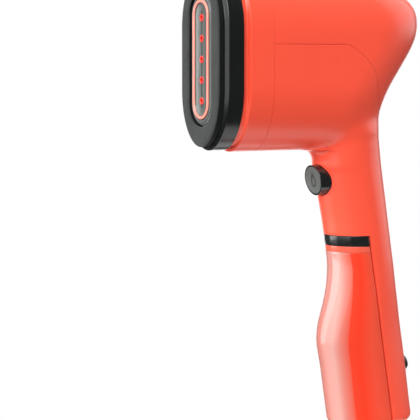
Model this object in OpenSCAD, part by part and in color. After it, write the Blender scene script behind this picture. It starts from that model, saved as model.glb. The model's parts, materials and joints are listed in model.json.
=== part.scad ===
// Handheld garment steamer: an upright steam head on a grip with a slide-off water tank.
// Units are millimetres. Origin: centre of the grip. +Z up, steam face towards -X.

/* [View] */
// Sub-part to show

/* [Head] */
// Height of the head's centre above the grip centre
head_z = 86; // [80:0.5:92]
// Half height of the head
head_h = 49.2; // [44:0.1:54]
// Radius of the head's rounded top and bottom, also its half width
head_r = 24.3; // [20:0.1:28]
// Front edge of the side shells
seam_x = -66.3; // [-72:0.1:-60]
// Height of the seam under the rear cover
seam_z = 94; // [90:0.5:98]
// Length over which the rear end rounds off
rear_round = 36; // [25:1:45]
// Wall of the outer shells
wall = 2.2; // [1.6:0.1:3]
// Gap between neighbouring shells
shell_gap = 0.15; // [0.05:0.05:0.4]

/* [Steam face] */
// Front plane of the fabric pad
face_x = -98.2; // [-102:0.1:-94]
// Half width of the pad and of its opening
pad_r = 20.5; // [18:0.1:22]
opening_r = 12.3; // [11:0.1:14]
// Half straight length of the pad's outside and of its opening
pad_s = 25; // [22:0.1:27]
opening_s = 23.3; // [21:0.1:25]
// Thickness of the fabric and of its frame
fabric_t = 1.6; // [1:0.1:3]
pad_frame_t = 2; // [1.5:0.1:3]
// Half width of the bezel
bezel_r = 23.4; // [22:0.1:25]
// Rear edge of the bezel
bezel_x1 = -84.1; // [-88:0.1:-80]
// Steam hole pitch, bore in the plate and bore in the nozzle
hole_pitch = 10.95; // [9:0.05:13]
hole_r = 2.05; // [1.5:0.05:3]
nozzle_r = 1.3; // [0.8:0.05:1.8]
hole_count = 5; // [3:1:7]

/* [Grip and tank] */
// Half width of the grip
grip_w = 17.5; // [15:0.1:20]
// Top and bottom of the black docking collar
dock_z1 = -11; // [-14:0.1:-8]
dock_z0 = -16.8; // [-20:0.1:-14]
// Underside of the tank's opaque cap
cap_z0 = -20; // [-24:0.1:-18]
// Lowest point of the body
base_z = -119; // [-125:0.5:-110]
// Wall of the clear tank
tank_wall = 1.8; // [1.2:0.1:2.5]
// Clearance behind the tank
tank_gap = 0.35; // [0.2:0.05:0.6]
// Where the parting plane behind the tank crosses the collar's underside
part_x = 0.45; // [-2:0.05:3]
// Lean of that plane, in millimetres back per millimetre down
part_lean = 0.159; // [0.1:0.001:0.2]

/* [Buttons] */
// Steam trigger: height, radius and face position
trigger_z = 19.8; // [15:0.1:25]
trigger_r = 8.4; // [7:0.1:10]
trigger_x = -27.1; // [-29:0.1:-25]
// Slant of the trigger's face
trigger_slant = 10.8; // [0:0.1:15]
// Power button: height and radius
power_z = -86.7; // [-95:0.1:-75]
power_r = 4.1; // [3:0.1:6]

/* [Cord inlet] */
// Position and bore of the cord gland
gland_x = 25; // [22:0.5:28]
gland_r = 3.3; // [2.5:0.1:4]

/* [Hidden] */
$fn = 64;
eps = 0.02;
coral = [0.93, 0.30, 0.22];
black = [0.05, 0.05, 0.055];
grey = [0.50, 0.51, 0.53];
steel = [0.75, 0.75, 0.77];
white = [0.9, 0.9, 0.88];

bezel_x0 = face_x + fabric_t + pad_frame_t;
plate_x0 = face_x + 1;
plate_x1 = plate_x0 + 6.2;
block_x0 = plate_x1 + 1;
block_x1 = block_x0 + 16;
join_x = -36;
lean = atan(part_lean);
cover_split = 0.814;
grip_front = -24.6;
web_x = 14;
web_w = 12;
head_s = head_h - head_r;

// Side outline of the body: height, front edge, rear edge, edge rounding
outline = [
  [head_z + head_h - 0.05, join_x, -32, 0], [134.6, join_x, -22, 0], [133.2, join_x, -10, 0],
  [130.6, join_x, 4, 0], [126.4, join_x, 19, 0], [121, join_x, 30, 0], [114, join_x, 36.6, 0],
  [107, join_x, 38.2, 0], [100, join_x, 37.4, 0], [seam_z, join_x, 35, 0],
  [86, join_x, 30, 0], [78, join_x, 24.5, 0], [70, join_x, 19.2, 0], [63, join_x, 15.8, 0],
  [57, join_x, 13.8, 0], [50, join_x, 13, 0], [43.5, join_x, 13, 0], [39.2, join_x, 13.5, 0],
  [head_z - head_h, join_x, 13.8, 0], [36, -29.6, 14, 0], [33.5, -26.8, 14.2, 0],
  [29, -24.8, 14.8, 0], [22, -23.2, 15.8, 0], [12, -21.4, 17.4, 0], [0, -18.9, 19.2, 0],
  [dock_z1, -17, 20.9, 0], [dock_z0, -16.2, 21.8, 0], [-27, -14.9, 23.5, 0],
  [-38, -15.3, 25.2, 0], [-50, -17.9, 27.2, 0], [-62, -21.5, 29.2, 0], [-70, -22.3, 30.6, 0],
  [-82, -20.4, 32.6, 0], [-98, -17.8, 35, 0], [-112, -15.6, 37.1, 0],
  [-116.4, -14.9, 37.8, 0.8], [-118.4, -14.6, 38.1, 2.4], [base_z, -14.5, 38.2, 4.6]
];
row_seam = 9;
row_rear = 14;
row_chin = 18;
row_dock = 25;
row_dock0 = 26;
row_last = len(outline) - 1;

// Rear end of the seam under the cover: height and position
seam_curve = [[57, 13.8], [58.5, 9.5], [62, 5.2], [68, 1.8], [76, -0.6], [83, -4.9],
  [88.8, -11.2], [92.6, -17.5], [seam_z, -22]];

// ---------- loft of the body ----------
function catmull(a, b, c, d, f) =
  0.5 * (2 * b + (c - a) * f + (2 * a - 5 * b + 4 * c - d) * f * f + (3 * b - a - 3 * c + d) * f * f * f);
function at_row(t) = let (i = min(floor(t), row_last - 1))
  catmull(outline[max(i - 1, 0)], outline[i], outline[i + 1], outline[min(i + 2, row_last)], t - i);
function smooth(v) = let (c = min(1, max(0, v))) c * c * (3 - 2 * c);
function head_w(z, e) = let (r = head_r - e, d = max(0, abs(z - head_z) - head_s))
  sqrt(max(0, r * r - d * d));
// Half width of the body at (x, z), pulled in by e, between front edge f and rear edge r
function dome(x, a, b, w) = let (m = (a + b) / 2, h = (b - a) / 2) w * sqrt(max(0, 1 - pow((x - m) / h, 2)));
function body_w(x, z, f, r, e) = let (
    chin = head_z - head_h + e,
    over = z > chin ? sqrt(max(0, 1 - pow(max(0, x - r + rear_round) / rear_round, 2))) : 0,
    fade = z > 45 ? smooth((75 - z) / 30) : 1,
    nose = z > chin ? join_x + e - 0.6 * (z - chin) : f,
    grip = dome(x, max(nose, grip_front + e), r, grip_w - e) * fade,
    web = z > 26 ? dome(x, nose, min(-2 * web_x - nose, r - 4), web_w - e) * fade : 0)
  pow(pow(z > chin ? head_w(z, e) * over : 0, 6) + pow(grip, 6) + pow(web, 6), 1 / 6);
function inner_z(z, e) = z >= head_z - head_h ? z - e * (z - head_z) / head_h
  : z + e * max(0, (z - 20) / (head_z - head_h - 20));
function ease(j, n) = (1 - cos(180 * j / n)) / 2;

// Point on the shell: row t, column j of n from the start edge to the front, pulled in by e.
// The last four columns run along the straight barrel.
function shell_x(t, j, n, e, start) = let (row = at_row(t), z = row[0],
    drop = min(1, max(0, (head_z - head_h - z) / 4)),
    r = row[2] - row[3] - e, f = row[1] + e * drop + row[3], s = min(start, r))
  j <= n ? s + (f - s) * ease(j, n) : f + (seam_x - f) * (j - n) / 4;
function shell_point(t, x, side, e) = let (row = at_row(t), z = inner_z(row[0], e),
    drop = min(1, max(0, (head_z - head_h - row[0]) / 4)))
  [x, side * body_w(x, z, row[1] + e * drop + row[3], row[2] - row[3] - e, e + row[3]), z];

// Closed thick sheet from two grids of points; span[i] gives the columns used below row i
function sheet_faces(rows, cols, span) = let (n = rows * cols,
    o = function (i, j) i * cols + j, v = function (i, j) n + i * cols + j) concat(
  [for (i = [0:rows - 2], j = [span[i][0]:span[i][1] - 1]) [o(i, j), o(i, j + 1), o(i + 1, j + 1), o(i + 1, j)]],
  [for (i = [0:rows - 2], j = [span[i][0]:span[i][1] - 1]) [v(i, j), v(i + 1, j), v(i + 1, j + 1), v(i, j + 1)]],
  [for (i = [0:rows - 2]) let (j = span[i][0]) [o(i, j), o(i + 1, j), v(i + 1, j), v(i, j)]],
  [for (i = [0:rows - 2]) let (j = span[i][1]) [o(i + 1, j), o(i, j), v(i, j), v(i + 1, j)]],
  [for (i = [1:rows - 1], j = [span[i - 1][0]:span[i - 1][1] - 1])
    if (i == rows - 1 || j < span[i][0] || j >= span[i][1]) [o(i, j), o(i, j + 1), v(i, j + 1), v(i, j)]],
  [for (i = [1:rows - 2], j = [span[i][0]:span[i][1] - 1])
    if (j < span[i - 1][0] || j >= span[i - 1][1]) [o(i, j + 1), o(i, j), v(i, j), v(i, j + 1)]]);
function top_edge(cols, n, a, b) = [for (j = [a:b - 1]) [j + 1, j, n + j, n + j + 1]];
function flip(faces) = [for (f = faces) [for (k = [len(f) - 1:-1:0]) f[k]]];

// ---------- D-shaped sections in front of the parting plane ----------
function part_at(z) = part_x + part_lean * (dock_z0 - z);
function row_of(z, i = 0) = outline[i + 1][0] <= z ? i + (outline[i][0] - z) / (outline[i][0] - outline[i + 1][0])
  : row_of(z, i + 1);
// Ring of 2n+1 points at height z, pulled in by e: in front of the parting plane, or behind it
function d_ring(z, e, n, rear = false) = let (row = at_row(row_of(z)), c = (row[1] + row[2]) / 2,
    a = (row[2] - row[1]) / 2 - e - row[3], w = grip_w - e - row[3], q0 = rear ? 0 : 180,
    start = acos((part_at(z) + (rear ? 0.1 : -tank_gap - e) - c) / a), sweep = rear ? start : 180 - start)
  [for (k = [-n:n]) let (q = q0 + k * sweep / n) [c + a * cos(q), -w * sin(q), z]];
function band_faces(m, n, out) = [for (i = [0:m - 2], k = [0:n - 1]) let (l = (k + 1) % n, a = i * n, b = a + n)
  out ? [a + k, a + l, b + l, b + k] : [a + k, b + k, b + l, a + l]];
function shift_faces(faces, s) = [for (f = faces) [for (k = f) k + s]];
module d_solid(levels, n = 14, rear = false) {
  k = 2 * n + 1;
  m = len(levels);
  polyhedron([for (l = levels) each d_ring(l[0], l[1], n, rear)],
    concat(band_faces(m, k, false), [[for (i = [0:k - 1]) i]], [[for (i = [k - 1:-1:0]) (m - 1) * k + i]]));
}
module d_cup(outer, inner, n = 14) {
  k = 2 * n + 1;
  m = len(outer);
  p = len(inner);
  s = m * k;
  polyhedron(concat([for (l = outer) each d_ring(l[0], l[1], n)], [for (l = inner) each d_ring(l[0], l[1], n)]),
    concat(band_faces(m, k, false), shift_faces(band_faces(p, k, true), s),
      [for (i = [0:k - 1]) let (j = (i + 1) % k) [i, j, s + j, s + i]],
      [[for (i = [k - 1:-1:0]) (m - 1) * k + i]], [[for (i = [0:k - 1]) s + (p - 1) * k + i]]));
}

// ---------- helpers ----------
module stadium(r, s) {
  square([2 * r, 2 * s], center = true);
  for (k = [-1, 1]) translate([0, k * s]) circle(r);
}
module along_x(x0, x1) { translate([x0, 0, head_z]) rotate([90, 0, 90]) linear_extrude(x1 - x0) children(); }
// Sweep a profile, drawn as (radius, x), round a stadium path of half straight length s
module round_stadium(s) {
  translate([0, 0, head_z]) rotate([90, 0, 90]) for (k = [0, 180]) rotate([0, 0, k]) {
    translate([0, s, 0]) rotate_extrude(angle = 180) children();
    rotate([90, 0, 0]) linear_extrude(2 * s, center = true) children();
  }
}
module bar_x(x0, x1, y, z, r) { translate([x0, y, z]) rotate([0, 90, 0]) cylinder(h = x1 - x0, r = r); }
module bar_y(y0, y1, x, z, r) { translate([x, y0, z]) rotate([-90, 0, 0]) cylinder(h = y1 - y0, r = r); }
module box(a, b) { translate(a) cube(b - a); }
// Smooth path through a list of points, four steps between neighbours
function path(p) = let (m = len(p) - 1) [for (s = [0:4 * m]) let (i = min(floor(s / 4), m - 1), f = s / 4 - i)
  catmull(p[max(i - 1, 0)], p[i], p[i + 1], p[min(i + 2, m)], f)];
// Hollow hose, or a solid wire when bore is 0, swept along a path in its own flat-sided rings
module sweep(points, r, bore = 0, k = 10) {
  q = path(points);
  m = len(q);
  tan = [for (i = [0:m - 1]) let (d = q[min(i + 1, m - 1)] - q[max(i - 1, 0)]) d / norm(d)];
  ring = function (i, rad) let (t = tan[i], u = cross([0.02, 1, 0.01], t), un = u / norm(u), v = cross(t, un))
    [for (a = [0:k - 1]) q[i] + rad * (un * cos(a * 360 / k) + v * sin(a * 360 / k))];
  wallf = function (o, out) [for (i = [0:m - 2], a = [0:k - 1]) let (b = (a + 1) % k, s = o + i * k)
    out ? [s + a, s + b, s + k + b, s + k + a] : [s + a, s + k + a, s + k + b, s + b]];
  n = m * k;
  l = (m - 1) * k;
  if (bore == 0)
    polyhedron([for (i = [0:m - 1]) each ring(i, r)],
      concat(wallf(0, true), [[for (a = [k - 1:-1:0]) a]], [[for (a = [0:k - 1]) l + a]]));
  else
    polyhedron(concat([for (i = [0:m - 1]) each ring(i, r)], [for (i = [0:m - 1]) each ring(i, bore)]),
      concat(wallf(0, true), wallf(n, false), [for (a = [0:k - 1]) let (b = (a + 1) % k) [b, a, n + a, n + b]],
        [for (a = [0:k - 1]) let (b = (a + 1) % k) [l + a, l + b, n + l + b, n + l + a]]));
}
// Compression spring along +Z from the origin
module coil(r, wire, length, turns) {
  steps = turns * 14;
  k = 6;
  polyhedron([for (i = [0:steps], q = [0:k - 1]) let (a = i * 360 / 14, b = q * 360 / k)
      [(r + wire * cos(b)) * cos(a), (r + wire * cos(b)) * sin(a),
        wire + (length - 2 * wire) * i / steps + wire * sin(b)]],
    concat([for (i = [0:steps - 1], q = [0:k - 1]) let (p = (q + 1) % k)
        [i * k + q, i * k + p, (i + 1) * k + p, (i + 1) * k + q]],
      [[for (q = [k - 1:-1:0]) q]], [[for (q = [0:k - 1]) steps * k + q]]));
}
// ---------- outer shells ----------
shell_n = 20;
module half_shell(side) {
  ts = concat([for (t = [row_seam:0.5:row_dock]) t], [for (t = [row_dock + 1:1:row_last]) t]);
  rows = len(ts);
  cols = shell_n + 5;
  split = 11;
  spans = [for (t = ts) t < row_chin ? [0, shell_n + 4] : t < row_dock ? [0, shell_n] : [0, split]];
  grid = [for (e = [0, wall], t = ts, j = [0:cols - 1]) let (row = at_row(t), z = row[0],
      start = t < row_rear ? lookup(z, seam_curve) - shell_gap : 1000)
    t < row_dock ? shell_point(t, shell_x(t, j, shell_n, e, start), side, e)
      : let (r = row[2] - row[3] - e, f = row[1] + row[3] + e, c = (r + f) / 2, a = (r - f) / 2,
          stop = acos((part_at(z) - c) / a), q = j <= split ? stop * j / split
            : stop + (180 - stop) * min(1, (j - split) / (shell_n - split)))
        [c + a * cos(q), side * (grip_w - e - row[3]) * sin(q), z]];
  f = concat(sheet_faces(rows, cols, spans), top_edge(cols, rows * cols, 0, shell_n + 4));
  polyhedron(grid, side > 0 ? f : flip(f));
}
module shell_cuts() {
  bar_x(-40, -12, 0, trigger_z, trigger_r + 0.35);
  power_frame() translate([0, 0, -8]) cylinder(h = 14, r = power_r + 0.3);
}
// Case screws: x, z and depth of the seat under the head
case_screw_at = [[-56, 50, 17], [-15, 47, 14], [18, -50, 7]];
module body_left() color(coral) difference() {
  union() {
    half_shell(1);
    for (p = case_screw_at) bar_y(0.1, p[2] + 2.5, p[0], p[1], 3.4);
  }
  shell_cuts();
  for (p = case_screw_at) {
    bar_y(-1, 30, p[0], p[1], 1.5);
    bar_y(p[2], 30, p[0], p[1], 2.7);
  }
}
module body_right() color(coral) difference() {
  union() {
    half_shell(-1);
    for (p = case_screw_at) bar_y(-p[2] - 2.5, -0.1, p[0], p[1], 3.4);
  }
  shell_cuts();
  for (p = case_screw_at) bar_y(-9, 1, p[0], p[1], 1.3);
}
module rear_cover() color(coral) {
  ts = [for (t = [0:0.5:row_rear]) t];
  rows = len(ts);
  c = 9;
  m = 8;
  half = c + m;
  cols = 2 * half + 1;
  lip = shell_gap;
  spans = [for (t = ts) t < row_seam ? [0, cols - 1] : [half - c, half + c]];
  grid = [for (e = [0, wall], t = ts, j = [-half:half]) let (row = at_row(t), r = row[2] - e, q = abs(j),
      cut = t <= row_seam ? r + (join_x - r) * cover_split : min(r, lookup(row[0], seam_curve) + lip),
      x = q <= c ? r + (cut - r) * (1 - cos(90 * q / c)) : q <= c + 4 ? cut + (join_x - cut) * (q - c) / 4
        : join_x + (seam_x - join_x) * (q - c - 4) / 4,
      p = shell_point(t, x, j < 0 ? -1 : 1, e)) p];
  n = rows * cols;
  polyhedron(grid, concat(sheet_faces(rows, cols, spans),
    [[for (j = [cols - 1:-1:0]) j]], [[for (j = [0:cols - 1]) n + j]], [[cols - 1, 0, n, n + cols - 1]]));
}
module front_collar() color(coral) round_stadium(head_s) polygon([
  [20.9, -83.9], [22.6, -83.9], [22.7, -82.9], [23, -82.1], [23.5, -81.4], [24, -81.1], [head_r, -80.5],
  [head_r, seam_x - shell_gap], [22, seam_x - shell_gap], [22, -80], [20.9, -82]]);

// ---------- steam face ----------
clip_at = [[-8, 41], [8, 41], [-8, -41], [8, -41]];
module bezel() color(black) difference() {
  union() {
    round_stadium(pad_s - 0.1) polygon([[bezel_r, bezel_x1], [bezel_r, bezel_x0 + 1.5], [bezel_r - 0.7, bezel_x0 + 0.7],
      [bezel_r - 1.5, bezel_x0 + 0.6], [bezel_r - 2.2, bezel_x0], [16, bezel_x0], [16, bezel_x0 + 2.2],
      [21, bezel_x0 + 2.2], [21, bezel_x1]]);
    along_x(bezel_x0, bezel_x0 + 2.2) difference() { stadium(16.2, pad_s - 0.1); stadium(opening_r, opening_s); }
  }
  for (p = clip_at) box([bezel_x0 - 1, p[0] - 3.3, head_z + p[1] - 1], [bezel_x0 + 3, p[0] + 3.3, head_z + p[1] + 1]);
}
module pad_frame() color(black) {
  along_x(face_x + fabric_t, bezel_x0) difference() { stadium(pad_r, pad_s); stadium(opening_r, opening_s); }
  for (p = clip_at) let (out = sign(p[1])) {
    box([bezel_x0 - 0.5, p[0] - 3, head_z + p[1] - 0.6], [bezel_x0 + 4.2, p[0] + 3, head_z + p[1] + 0.6]);
    box([bezel_x0 + 2.5, p[0] - 3, head_z + p[1] + min(0, out * 1.1)],
      [bezel_x0 + 4.2, p[0] + 3, head_z + p[1] + max(0, out * 1.1)]);
  }
}
module pad_fabric() color([0.3, 0.31, 0.34]) along_x(face_x, face_x + fabric_t)
  difference() { stadium(pad_r, pad_s); stadium(opening_r, opening_s); }
module hole_row(r, x0, x1) { for (i = [0:hole_count - 1]) bar_x(x0, x1, 0, head_z + (i - (hole_count - 1) / 2) * hole_pitch, r); }
plate_s = 23.2;
module steam_plate() color(grey) difference() {
  union() {
    along_x(plate_x0, plate_x1) stadium(11.3, plate_s);
    along_x(plate_x0 + 1.6, plate_x1) stadium(11.9, plate_s);
  }
  hole_row(hole_r, plate_x0 - 1, plate_x1 + 1);
  along_x(plate_x0 - 1, plate_x0 + 0.5) stadium(6.4, plate_s);
  box([plate_x0, -0.45, head_z - 26], [plate_x0 + 1, 0.45, head_z + 26]);
}
module plate_trim() color([0.95, 0.42, 0.36]) along_x(plate_x0 - 0.7, plate_x0) difference() { stadium(9, plate_s); stadium(6.5, plate_s); }
module steam_nozzles() color([0.75, 0.15, 0.12]) difference() {
  hole_row(hole_r, plate_x0 + 0.2, plate_x1);
  hole_row(nozzle_r, plate_x0 - 1, plate_x1 + 1);
}

// ---------- boiler ----------
module element_path(r, tail) {
  for (y = [-9.5, 9.5]) {
    translate([-79, y, head_z - 18]) cylinder(h = 36, r = r);
    translate([-79, y, head_z - 18]) sphere(r);
    bar_x(-79, tail, y, head_z - 18, r);
  }
  translate([-79, 0, head_z + 18]) rotate([90, 0, 90]) rotate_extrude(angle = 180) translate([9.5, 0]) circle(r);
}
module plate_gasket() color([0.8, 0.35, 0.25]) along_x(plate_x1, block_x0) difference() { stadium(14.5, plate_s); stadium(9, plate_s); }
module heater_block() color([0.72, 0.73, 0.75]) difference() {
  along_x(block_x0, block_x1) stadium(15.5, plate_s);
  along_x(block_x0 - 1, block_x0 + 6) stadium(8.5, plate_s);
  element_path(2.9, block_x1 + 2);
  bar_x(block_x0 + 4, block_x1 + 1, 0, head_z + 30, 1.5);
  for (p = heater_screw_at) bar_x(block_x1 - 7, block_x1 + 1, p[0], head_z + p[1], 1.2);
}
heater_screw_at = [[-11, 26], [11, 26], [-11, -28], [11, -28]];
module heating_element() color([0.35, 0.33, 0.32]) element_path(2.9, -67);
module heater_cover() color(steel) difference() {
  along_x(block_x1, block_x1 + 1) stadium(15.5, plate_s);
  for (y = [-9.5, 9.5]) bar_x(block_x1 - 1, block_x1 + 2, y, head_z - 18, 3.1);
  bar_x(block_x1 - 1, block_x1 + 2, 0, head_z + 30, 3.1);
  for (p = heater_screw_at) bar_x(block_x1 - 1, block_x1 + 2, p[0], head_z + p[1], 1.4);
}
module heater_screws() color(steel) for (p = heater_screw_at) {
  bar_x(block_x1 - 6, block_x1 + 1, p[0], head_z + p[1], 1.2);
  bar_x(block_x1 + 1, block_x1 + 3, p[0], head_z + p[1], 2.5);
}
module water_inlet() color([0.8, 0.65, 0.3]) difference() {
  union() {
    bar_x(block_x1, block_x1 + 9, 0, head_z + 30, 3);
    bar_x(block_x1 + 1, block_x1 + 2.5, 0, head_z + 30, 4.2);
  }
  bar_x(block_x1 - 1, block_x1 + 10, 0, head_z + 30, 1.5);
}
module heater_carrier() color([0.16, 0.16, 0.17]) along_x(-82, -80) difference() { stadium(20.8, plate_s); stadium(15.5, plate_s); }
module thermostat() color([0.85, 0.85, 0.83]) {
  bar_x(block_x1 + 1, block_x1 + 6, 0, head_z + 4, 8);
  for (y = [-5, 5]) box([block_x1 + 5, y - 0.4, head_z + 1], [block_x1 + 12, y + 0.4, head_z + 7]);
}
module thermal_fuse() color([0.7, 0.7, 0.6]) {
  translate([block_x1 + 3, 10, head_z - 6]) cylinder(h = 16, r = 2);
  box([block_x1 + 1, 8.5, head_z - 2], [block_x1 + 2.4, 11.5, head_z + 6]);
}

// ---------- board, pump and hoses ----------
module control_board() color([0.1, 0.35, 0.2]) difference() {
  box([-56, 13, head_z - 22], [-10, 14.6, head_z + 20]);
  for (x = [-53, -13], z = [-19, 17]) bar_y(12, 16, x, head_z + z, 1.3);
}
board_post_at = [[-53, -19, 22], [-53, 17, 22], [-13, -19, 20.9], [-13, 17, 22]];
module board_posts() color(white) for (p = board_post_at) difference() {
  bar_y(14.6, p[2], p[0], head_z + p[1], 2.4);
  bar_y(14, 20, p[0], head_z + p[1], 1);
}
module board_parts() color([0.2, 0.2, 0.22]) {
  box([-48, 2, head_z - 14], [-30, 13, head_z + 4]);
  box([-27, 5, head_z - 16], [-16, 13, head_z - 2]);
  bar_y(1, 13, -22, head_z + 10, 6);
  box([-44, 6, head_z + 8], [-34, 13, head_z + 17]);
}
pump_x = 2.5;
module pump_body() color(white) difference() {
  translate([pump_x, 0, 0]) {
    translate([0, 0, -2]) cylinder(h = 38, r = 5.4);
    translate([0, 0, -4.4]) cylinder(h = 3.4, r = 1.9);
    translate([0, 0, 36]) cylinder(h = 7, r = 2.6);
  }
  translate([pump_x, 0, -9]) cylinder(h = 53, r = 1.3);
}
module pump_coil() color([0.72, 0.4, 0.2]) difference() {
  box([-5, -8, 6], [10, 8, 27]);
  translate([pump_x, 0, 5]) cylinder(h = 23, r = 5.4);
}
module pump_rubber() color([0.14, 0.14, 0.14]) for (z = [0, 30]) difference() {
  translate([pump_x, 0, z]) cylinder(h = 3.4, r = 9);
  translate([pump_x, 0, z - 1]) cylinder(h = 6, r = 5.4);
}
valve_x = -7;
module inlet_hose() color([0.85, 0.85, 0.82])
  sweep([[pump_x, 0, -2.4], [pump_x, 0, -5.4], [pump_x - 2.2, 0, -7.8], [valve_x + 1.4, 0, -7.6],
    [valve_x - 0.8, 0, -8.9], [valve_x - 0.9, 0, dock_z1 + 0.4]], 2.6, 2.2);
module outlet_hose() color([0.85, 0.85, 0.82])
  sweep([[pump_x, 0, 37.2], [pump_x, 0, 46], [pump_x, -2, 66], [-16, -6, 96], [-42, -3, head_z + 29.4],
    [block_x1 + 12, 0, head_z + 30], [block_x1 + 3, 0, head_z + 30]], 4.3, 3.5);

// ---------- steam trigger ----------
module slant_cut(x) { translate([x, 0, trigger_z]) rotate([0, -trigger_slant, 0]) translate([-30, -20, -30]) cube([30, 40, 60]); }
module trigger_button() color(black) difference() {
  union() {
    bar_x(-32, -15, 0, trigger_z, trigger_r);
    bar_x(-16.6, -15, 0, trigger_z, trigger_r + 1);
  }
  slant_cut(trigger_x + 0.6);
  difference() {
    bar_x(-19, -14, 0, trigger_z, 6.4);
    bar_x(-20, -14.7, 0, trigger_z, 1.6);
  }
}
module trigger_cap() color(grey) difference() {
  bar_x(-32, -20, 0, trigger_z, trigger_r - 0.9);
  slant_cut(trigger_x);
  translate([trigger_x + 0.6, 0, trigger_z]) rotate([0, -trigger_slant, 0]) translate([0, -20, -30]) cube([30, 40, 60]);
}
module trigger_mark() color(black) translate([trigger_x, 0, trigger_z]) rotate([0, -trigger_slant, 0])
  translate([-0.25, 0, -1.2]) rotate([90, 0, 90]) linear_extrude(0.25) {
    circle(2.5);
    polygon([[-2.17, 1.25], [2.17, 1.25], [0, 5]]);
  }
module trigger_guide() color([0.2, 0.2, 0.21]) difference() {
  bar_x(-14.9, -10, 0, trigger_z, 11);
  bar_x(-16, -11, 0, trigger_z, trigger_r + 1.3);
  bar_x(-12, -9, 0, trigger_z, 3);
}
module trigger_spring() color(steel) translate([-19, 0, trigger_z]) rotate([0, 90, 0]) coil(5, 0.45, 8, 5);
module trigger_switch() color([0.12, 0.12, 0.13]) {
  box([-10, -4, trigger_z - 8], [-5.6, 4, trigger_z + 5]);
  bar_x(-12, -9.5, 0, trigger_z, 1.5);
}

// ---------- tank ----------
tank_outer = [[cap_z0, 0], [-24, 0], [-28, 0], [-33, 0], [-38, 0], [-44, 0], [-50, 0], [-56, 0], [-62, 0], [-66, 0],
  [-70, 0], [-76, 0], [-82, 0], [-90, 0], [-98, 0], [-112, 0], [-116.4, 0], [-118.4, 0], [base_z, 0]];
module tank_dock() color(black) difference() {
  d_solid([[dock_z1, 0], [-13.9, -0.15], [dock_z0 + 0.1, 0]]);
  valve_frame() translate([0, 0, -6]) cylinder(h = 9.6, r = 5.2);
  valve_frame() cylinder(h = 20, r = 1.6);
}
module dock_seal() color([0.25, 0.25, 0.26]) valve_frame() translate([0, 0, 2.3]) rotate_extrude() translate([4.1, 0]) circle(1);
module tank_cap() color([0.92, 0.36, 0.28]) difference() {
  d_solid([[dock_z0, 0], [cap_z0, 0], [cap_z0, tank_wall + 0.05], [cap_z0 - 3, tank_wall + 0.05]]);
  valve_frame() translate([0, 0, -12]) cylinder(h = 20, r = 2.2);
  valve_frame() translate([0, 0, -0.8]) cylinder(h = 5, r = 3.2);
}
module tank_body() color([0.97, 0.72, 0.66, 0.45]) difference() {
  d_cup(tank_outer, [for (z = [cap_z0, -24, -28, -33, -38, -44, -50, -56, -62, -66, -70, -76, -82, -90, -98, -108, base_z + 2.2])
    [z, tank_wall]]);
  translate([plug_x, 0, base_z - 1]) cylinder(h = 6, r = 6);
  translate([plug_x, 0, base_z - 1]) cylinder(h = 1.8, r = 8);
  box([plug_x, -3.2, base_z - 1], [plug_hinge_x, 3.2, base_z + 0.8]);
  box([plug_hinge_x - 1, -3.4, base_z - 1], [plug_hinge_x + 1.4, 3.4, base_z + 1.6]);
}
module tank_valve() color(white) valve_frame() difference() {
  union() {
    translate([0, 0, -9.5]) cylinder(h = 10.5, r = 2.1);
    translate([0, 0, -11.5]) cylinder(h = 2, r = 3.6);
    translate([0, 0, -0.6]) cylinder(h = 3.4, r = 3);
  }
  translate([0, 0, -12]) cylinder(h = 16, r = 0.9);
}
plug_x = -1;
plug_hinge_x = plug_x + 10.6;
module tank_plug() color([0.85, 0.3, 0.24]) {
  difference() {
    union() {
      translate([plug_x, 0, base_z]) cylinder(h = 0.7, r = 7.7);
      translate([plug_x, 0, base_z + 0.5]) cylinder(h = 2.2, r = 5.6);
      box([plug_x, -2.9, base_z], [plug_hinge_x, 2.9, base_z + 0.7]);
      bar_y(-2.9, 2.9, plug_hinge_x, base_z + 0.7, 0.7);
    }
    translate([plug_x, 0, base_z + 1.2]) cylinder(h = 3, r = 4.4);
  }
}

// ---------- spine ----------
module in_spine(z) { translate([part_at(z), 0, z]) rotate([0, -lean, 0]) children(); }
module spine_wall() color(coral) in_spine(-66) translate([0.1, -14.5, -49]) cube([1.8, 29, 99]);
module base_cap() color(coral) difference() {
  d_solid([[base_z + 2.6, wall + 0.15], [-118.4, wall + 0.15], [base_z, wall + 0.15]], 10, true);
  translate([gland_x, 0, base_z - 1]) cylinder(h = 5, r = 5.2);
}
module cord_gland() color(black) difference() {
  union() {
    translate([gland_x, 0, base_z]) cylinder(h = 9, r = 5.1);
    translate([gland_x, 0, base_z + 2.7]) cylinder(h = 2, r = 6.2);
  }
  translate([gland_x, 0, base_z - 1]) cylinder(h = 12, r = gland_r);
}
module cord_clamp() color([0.2, 0.2, 0.21]) difference() {
  box([gland_x - 5, -8, base_z + 10], [gland_x + 5, 8, base_z + 14]);
  translate([gland_x, 0, base_z + 9]) cylinder(h = 6, r = 3.1);
}
module terminal_block() color(white) difference() {
  box([18, -8, -103], [26, 8, -95]);
  for (y = [-5.4, 0, 5.4]) translate([22, y, -104]) cylinder(h = 10, r = 1.4);
}
module power_frame() {
  translate([outline_rear(power_z), 0, power_z]) rotate([0, 90 - lean, 0]) children();
}
function outline_rear(z) = at_row(row_of(z))[2];
module power_button() color(black) power_frame() {
  intersection() {
    translate([0, 0, -3.5]) cylinder(h = 8, r = power_r);
    translate([0, 0, 1.4 - 9]) sphere(9);
  }
  translate([0, 0, -4.7]) cylinder(h = 1.2, r = power_r + 0.7);
}
module power_guide() color([0.2, 0.2, 0.21]) power_frame() difference() {
  translate([0, 0, -9]) cylinder(h = 4.6, r = 6.2);
  translate([0, 0, -8]) cylinder(h = 6, r = power_r + 1.2);
  translate([0, 0, -10]) cylinder(h = 4, r = 2);
}
module power_spring() color(steel) power_frame() translate([0, 0, -8]) coil(3, 0.3, 3.3, 4);
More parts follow.
